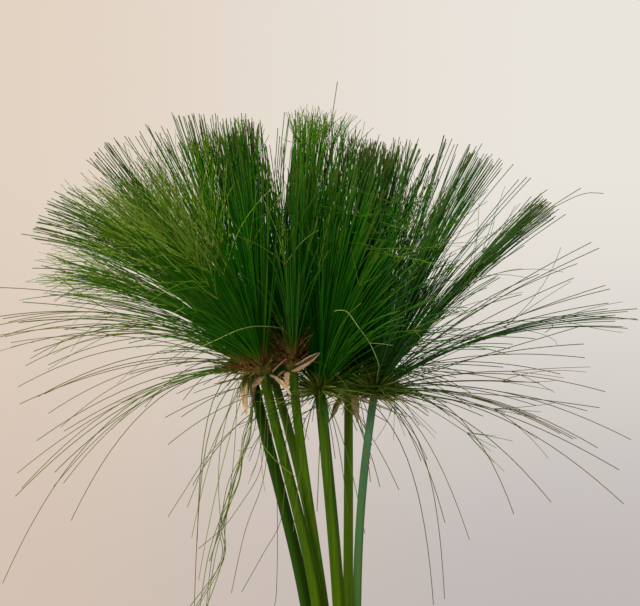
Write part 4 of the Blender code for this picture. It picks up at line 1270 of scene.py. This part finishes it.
def add_threads(mop, joint, along, length, ray, draw):
    """The fine threads at a ray's joint, and now and then a tiny brown spike between them."""
    low_joint, tangled = ray["low_joint"], ray["tangled"]
    count = ray.get("threads") or (draw.choice(THREADS_LOW) if low_joint else THREADS_HIGH)
    side = along.orthogonal().normalized()
    turn = draw.uniform(0, math.tau)
    for i in range(count):
        out = Matrix.Rotation(turn + math.tau * i / count, 3, along) @ side
        open_by = math.radians(draw.uniform(*(TANGLE_OPENING if tangled else THREAD_OPENING)))
        own = length * draw.uniform(*THREAD_LENGTHS)
        curl = any_way(draw) * THREAD_CURL * draw.random() ** 2
        way = along * math.cos(open_by) + out * math.sin(open_by)
        thickness = 1.0
        if tangled:
            way.z *= TANGLE_FLATNESS
            curl = any_way(draw) * TANGLE_CURL
            thickness = TANGLE_THREAD
        line = ray_line(joint, way, own, draw.uniform(*THREAD_SAGS), curl)
        last = len(line) - 1
        shown = list(range(0, last, 1 if tangled else 2)) + [last]
        taper = THREAD_TIP_RADIUS - THREAD_RADIUS
        radii = [(THREAD_RADIUS + taper * j / last) * thickness for j in shown]
        tip_dry = draw.uniform(*THREAD_TIP_DRY)
        # Partly painted light: the thread is made lighter than its ray.
        tone = ray["tone"] + draw.uniform(*(THREAD_LIFT_LOW if low_joint else THREAD_LIFT_HIGH))
        dry = [max(ray["dry"], tip_dry * (j / last) ** 2) for j in shown]
        mop.tube([line[j] for j in shown], radii, min(THREAD_BRIGHTEST, tone),
                 ray["cool"] * THREAD_COOL_SHARE, dry)
    if draw.random() < (SPIKE_SHARE_LOW if low_joint else SPIKE_SHARE_HIGH):
        way = (along + side * draw.uniform(-SPIKE_LEAN, SPIKE_LEAN)).normalized()
        size = draw.uniform(*SPIKE_LENGTHS)
        line = [joint, joint + way * size * SPIKE_WIDEST, joint + way * size]
        mop.tube(line, SPIKE_RADII, SPIKE_TONE, 0.0, [SPIKE_DRY] * len(line))


def add_ray(mop, line, ray, look, draw):
    """One ray with its brown root tube. A forked one ends in a joint and its threads. Far from the root
    only every third step of its line is kept."""
    last = len(line) - 1
    tube_length = look["tube"] * draw.uniform(*ROOT_TUBE_LENGTHS)
    joint = last
    if ray["forked"]:
        joint = round(last * draw.uniform(*(JOINT_LOW if ray["low_joint"] else JOINT_HIGH)))
    shown = [j for j in range(joint) if j < ROOT_STEPS or j % FAR_STEPS == 0] + [joint]
    tip_dry = ray["dry"] if ray["forked"] else max(ray["dry"], draw.uniform(*TIP_DRY))
    radii, dry = [], []
    for j in shown:
        share, out = j / last, j * RAY_STEP
        in_tube = out < tube_length * ROOT_TUBE_COLLAR
        radii.append(RAY_ROOT_RADIUS if in_tube else RAY_RADIUS + (RAY_TIP_RADIUS - RAY_RADIUS) * share)
        root_dry = look["dry"] * max(0.0, min(1.0, ROOT_TUBE_FADE * (1 - out / tube_length)))
        dry.append(max(root_dry, ray["dry"] * min(1.0, 2 * share), tip_dry * share ** 9))
    mop.tube([line[j] for j in shown], radii, ray["tone"], ray["cool"], dry)
    if ray["forked"]:
        along = (line[joint] - line[joint - 1]).normalized()
        add_threads(mop, line[joint], along, (last - joint) * RAY_STEP, ray, draw)


def add_tangles(mop, number, hub, look, draw):
    """Bowed rays that end in a tangle of threads, each with its brown root."""
    for joint, threads, length in TANGLES.get(number, ()):
        joint = Vector(joint)
        rise = Vector((0, 0, TANGLE_BOW * (joint - hub).length))
        line = interpolate_bezier(hub, hub.lerp(joint, 0.3) + rise, hub.lerp(joint, 0.7) + rise, joint,
                                  TANGLE_STEPS + 1)
        dry = [look["dry"] * max(0.0, 1 - j / TANGLE_TUBE_STEPS) for j in range(len(line))]
        mop.tube(line, [RAY_RADIUS] * len(line), TANGLE_TONE, 0.0, dry)
        ray = dict(low_joint=True, tangled=True, tone=draw.uniform(*TANGLE_THREAD_TONES), cool=0.0, dry=0.0,
                   threads=threads)
        add_threads(mop, joint, (joint - hub).normalized(), length, ray, draw)


def add_fibres(mop, number, hub, draw):
    """Short dry fibres round the knob, tapering and bent every way. The drier, the thicker and browner."""
    for headings, angles, lengths, count, dryness in FIBRES.get(number, ()):
        radius = FIBRE_RADIUS * (FIBRE_THINNEST + (1 - FIBRE_THINNEST) * dryness)
        tone = FIBRE_TONE - FIBRE_BROWNING * dryness
        for _ in range(count):
            way = heading_way(draw.uniform(*headings), draw.uniform(*angles))
            curl = any_way(draw) * FIBRE_CURL
            start = hub + way * HUB_RADIUS * FIBRE_START
            line = ray_line(start, way, draw.uniform(*lengths), draw.uniform(*FIBRE_SAGS), curl)
            last = len(line) - 1
            radii = [radius * (1 - FIBRE_TAPER * j / last) for j in range(last + 1)]
            mop.tube(line, radii, tone, 0.0, [dryness * draw.uniform(*FIBRE_DRYNESS)] * (last + 1))


def smooth_line(knots, steps=6):
    """A smooth line through given points."""
    knots = [Vector(knot) for knot in knots]
    line = [knots[0]]
    for i in range(len(knots) - 1):
        before, after = knots[max(i - 1, 0)], knots[min(i + 2, len(knots) - 1)]
        start, end = knots[i], knots[i + 1]
        line += interpolate_bezier(start, start + (end - before) / 6, end - (after - start) / 6, end,
                                   steps + 1)[1:]
    return line


def add_bent_rays(mop, number, draw):
    for dry, threads, knots in BENT_RAYS.get(number, ()):
        line = smooth_line(knots)
        tone = BENT_FRESH_TONE if dry == 0.0 else BENT_DRY_TONE
        mop.tube(line, [BENT_RADIUS] * len(line), tone, 0.0, [dry] * len(line))
        if threads:
            ray = dict(low_joint=True, tangled=False, tone=tone, cool=0.0, dry=dry, threads=threads)
            add_threads(mop, line[-1], (line[-1] - line[-2]).normalized(), BENT_END_THREADS, ray, draw)


def add_hanging_bunch(mop, draw):
    for _ in range(BUNCH_COUNT):
        knots = [(x + draw.uniform(-apart, apart), y + draw.uniform(-apart, apart), z)
                 for x, y, z, apart in HANGING_BUNCH]
        line = smooth_line(knots[:draw.choice(BUNCH_ENDS)])
        mop.tube(line, [BUNCH_RADIUS] * len(line), draw.uniform(*BUNCH_TONES), BUNCH_COOL,
                 [draw.uniform(*BUNCH_DRY)] * len(line))


def obstacles():
    """Points on the stems, knobs and bracts, each with its half width, for keeping rays clear of them."""
    spots = []
    for number, stem in STEMS.items():
        line = stem_line(stem, OBSTACLE_STEPS)
        spots += [(point, stem["radius"] * (STEM_BASE_SWELL + (1 - STEM_BASE_SWELL) * i / OBSTACLE_STEPS))
                  for i, point in enumerate(line)]
        spots.append((Vector(stem["hub"]), HUB_RADIUS))
        for *course, width, _ in BRACTS[number]:
            for row, (point, side, _) in enumerate(bract_line(stem, *course, BRACT_ROWS)):
                half = width / 2 * bract_width(row / BRACT_ROWS)
                spots += [(point + side * half * across, BRACT_ROOM) for across in BRACT_SPOTS]
    tree = KDTree(len(spots))
    for index, spot in enumerate(spots):
        tree.insert(spot[0], index)
    tree.balance()
    return spots, tree


def runs_clear(line, hub, spots, tree):
    """True if the ray passes all stems, knobs and bracts with a little room."""
    for point in line[1::2]:
        if (point - hub).length < RAY_ROOT_CROWD:
            continue
        for _, index, distance in tree.find_range(point, WIDEST_OBSTACLE):
            if distance < spots[index][1] + RAY_RADIUS + RAY_ROOM:
                return False
    return True


def plain_ray(draw, headings, angles, lengths, sags, **others):
    """A ray of a group, with what the group says about it."""
    way = heading_way(draw.uniform(*headings), draw.uniform(*angles))
    ray = dict(way=way, length=draw.uniform(*lengths), sag=draw.uniform(*sags), forked=False,
               low_joint=False, tangled=False, dry=0.0)
    ray.update(others)
    return ray


def upright_rays(look, draw):
    """The rays of the fan, gathered in locks that each have a length, a brightness and a kind."""
    ways = list(fan_ways(look, draw))
    locks = []
    for way in draw.sample(ways, LOCK_COUNT):
        feathery = draw.random() < (look["feathery"] if way.x < FEATHERY_LEAN else FEATHERY_ELSEWHERE)
        tone = draw.uniform(*look["tone"])
        cool = min(1.0, look["cool"] * draw.uniform(*LOCK_COOLNESS))
        if feathery:
            cool *= FEATHERY_COOL_SHARE
        locks.append((way, feathery, look["length"] * draw.uniform(*LOCK_LENGTHS), tone, cool))
    for way in ways:
        middle, feathery, length, tone, cool = min(locks, key=lambda lock: lock[0].angle(way))
        yield dict(way=way.lerp(middle, draw.uniform(*look["pull"])).normalized(),
                   length=length * draw.uniform(*LOCK_UNEVENNESS), sag=draw.uniform(*UPRIGHT_SAG),
                   forked=feathery or draw.random() < FORKED_ELSEWHERE, low_joint=feathery, tangled=False,
                   tone=max(0.0, tone + draw.gauss(0, LOCK_TONE_SCATTER)), cool=cool, dry=0.0)


def bundled_rays(number, draw):
    """The rays of the bundles that belong to one umbel."""
    for (sideways, back), opening, lengths, sags, count, (forking, joints), tone, cool in BUNDLES[number]:
        for _ in range(count):
            out, turn = opening * math.sqrt(draw.random()), draw.uniform(0, math.tau)
            way = tilted_way(sideways + out * math.cos(turn), back + BUNDLE_DEPTH * out * math.sin(turn))
            yield dict(way=way, length=draw.uniform(*lengths), sag=draw.uniform(*sags),
                       forked=draw.random() < forking, low_joint=joints == JOINT_LOW, tangled=False,
                       threads=BUNDLE_THREADS if joints == JOINT_HIGH else None,
                       tone=max(0.0, tone + draw.gauss(0, BUNDLE_TONE_SCATTER)),
                       cool=min(1.0, cool * draw.uniform(*BUNDLE_COOLNESS)), dry=0.0)


def planned_rays(number, look, draw):
    """Every ray that an umbel may carry."""
    for heading, from_up, length, sag in LONE_RAYS.get(number, ()):
        yield plain_ray(draw, (heading, heading), (from_up, from_up), (length, length), (sag, sag),
                        tone=LONE_TONE, cool=look["cool"], dry=LONE_DRY)
    yield from upright_rays(look, draw)
    yield from bundled_rays(number, draw)
    for *group, count, forked, dry in LOW_RAYS[number]:
        for _ in range(count):
            yield plain_ray(draw, *group, forked=draw.random() < forked,
                            low_joint=draw.random() < LOW_RAY_LOW_JOINTS, tone=draw.uniform(*LOW_RAY_TONES),
                            cool=look["cool"], dry=dry * draw.uniform(*LOW_RAY_DRYNESS))
    for *group, count in PALE_RAYS.get(number, ()):
        for _ in range(count):
            yield plain_ray(draw, *group, tone=draw.uniform(*PALE_RAY_TONES), cool=0.0,
                            dry=draw.uniform(*PALE_RAY_DRY))


def make_umbels():
    finish = ray_skin()
    spots, tree = obstacles()
    for number, stem in STEMS.items():
        draw = random.Random(MOP_SEED + number)
        look, hub = UMBELS[number], Vector(stem["hub"])
        mop = Mop()
        mop.knob(stem, look["dry"] * KNOB_DRY)
        for ray in planned_rays(number, look, draw):
            scatter = any_way(draw) * HUB_RADIUS * RAY_START_SCATTER
            start = hub + ray["way"] * HUB_RADIUS * RAY_START + scatter
            line = ray_line(start, ray["way"], ray["length"], ray["sag"], any_way(draw) * RAY_CURL)
            strays = draw.random() < PARTING_STRAYS
            if runs_clear(line, hub, spots, tree) and (strays or not in_parting(line)):
                add_ray(mop, line, ray, look, draw)
        add_tangles(mop, number, hub, look, draw)
        add_fibres(mop, number, hub, draw)
        add_bent_rays(mop, number, draw)
        if number == BUNCH_UMBEL:
            add_hanging_bunch(mop, draw)
        piece = new_piece(f"umbel_{number}_rays", mop.points, mop.faces, finish, smooth=False,
                          tone=mop.tone, cool=mop.cool, dry=mop.dry)
        dress(piece, "ray", f"umbel_{number}")


make_umbels()


# The stage
# A round pale floor under the pot, and a plain pale surround, warmer to the left and cooler to the right.

FLOOR_RADIUS = 1.2
FLOOR_TURNS = 96
FLOOR_COLOUR = (0.70, 0.67, 0.63, 1)
FLOOR_THICKNESS = 0.02
FLOOR_GAP = 0.0002
SURROUND_LIGHT = 0.36
HIGH_LEFT, HIGH_RIGHT = (0.76, 0.64, 0.53, 1), (0.82, 0.78, 0.72, 1)
LOW_LEFT, LOW_RIGHT = (0.66, 0.54, 0.45, 1), (0.52, 0.48, 0.47, 1)
GOES_OVER_ACROSS = (-0.24, 0.16)
GOES_OVER_UPWARDS = (-0.20, 0.10)

# The two softboxes: where they stand, size, power in watts, and colour. Both face the middle of the umbels.
KEY_LIGHT = ((-1.3, -1.7, 2.0), 0.8, 54, (1.0, 0.96, 0.88))
FILL_LIGHT = ((1.6, -1.2, 1.2), 1.4, 4, (0.86, 0.93, 1.0))
LIT_SPOT = (-0.02, 0, 0.62)


def make_floor():
    finish, _, shader, _ = new_finish("pale_floor", 0.8, 0.2)
    shader.inputs["Base Color"].default_value = FLOOR_COLOUR
    corners = ((0, -FLOOR_THICKNESS), (FLOOR_RADIUS, -FLOOR_THICKNESS), (FLOOR_RADIUS, -FLOOR_GAP),
               (0, -FLOOR_GAP))
    floor = new_piece("floor", *turned([Vector(corner) for corner in corners], FLOOR_TURNS), finish)


def make_surround():
    world = bpy.data.worlds.new("surround")
    bpy.context.scene.world = world
    world.use_nodes = True
    tree = world.node_tree
    way = tree.nodes.new("ShaderNodeTexCoord").outputs["Generated"]
    parts = add_node(tree, "SeparateXYZ", Vector=way)
    across = rising(tree, parts.outputs["X"], *GOES_OVER_ACROSS, "SMOOTHSTEP")
    up = rising(tree, parts.outputs["Z"], *GOES_OVER_UPWARDS, "SMOOTHSTEP")
    low, high = blended(tree, across, LOW_LEFT, LOW_RIGHT), blended(tree, across, HIGH_LEFT, HIGH_RIGHT)
    tree.links.new(blended(tree, up, low, high), tree.nodes["Background"].inputs["Color"])
    seen = add_node(tree, "LightPath").outputs["Is Camera Ray"]
    strength = add_node(tree, "MapRange", Value=seen, To_Min=SURROUND_LIGHT)
    tree.links.new(strength.outputs["Result"], tree.nodes["Background"].inputs["Strength"])


def add_softbox(name, place, size, power, colour):
    light = bpy.data.lights.new(name, "AREA")
    light.size = size
    light.energy = power
    light.color = colour
    thing = bpy.data.objects.new(name, light)
    thing.location = place
    thing.rotation_euler = (Vector(LIT_SPOT) - Vector(place)).to_track_quat("-Z", "Y").to_euler()
    bpy.context.scene.collection.objects.link(thing)


make_floor()
make_surround()
add_softbox("key", *KEY_LIGHT)
add_softbox("fill", *FILL_LIGHT)
bpy.context.scene.view_settings.view_transform = "Standard"


# The camera
# It stands at the height of the umbels and looks straight across at them, as the photograph was taken.

CAMERA_LENS = 90
CAMERA_SENSOR = 36


def make_camera():
    lens = bpy.data.cameras.new("camera")
    lens.lens = CAMERA_LENS
    lens.sensor_width = CAMERA_SENSOR
    camera = bpy.data.objects.new("camera", lens)
    camera.location = SEEN_FROM
    camera.rotation_euler = (math.radians(90), 0, 0)
    bpy.context.scene.collection.objects.link(camera)
    bpy.context.scene.camera = camera


make_camera()
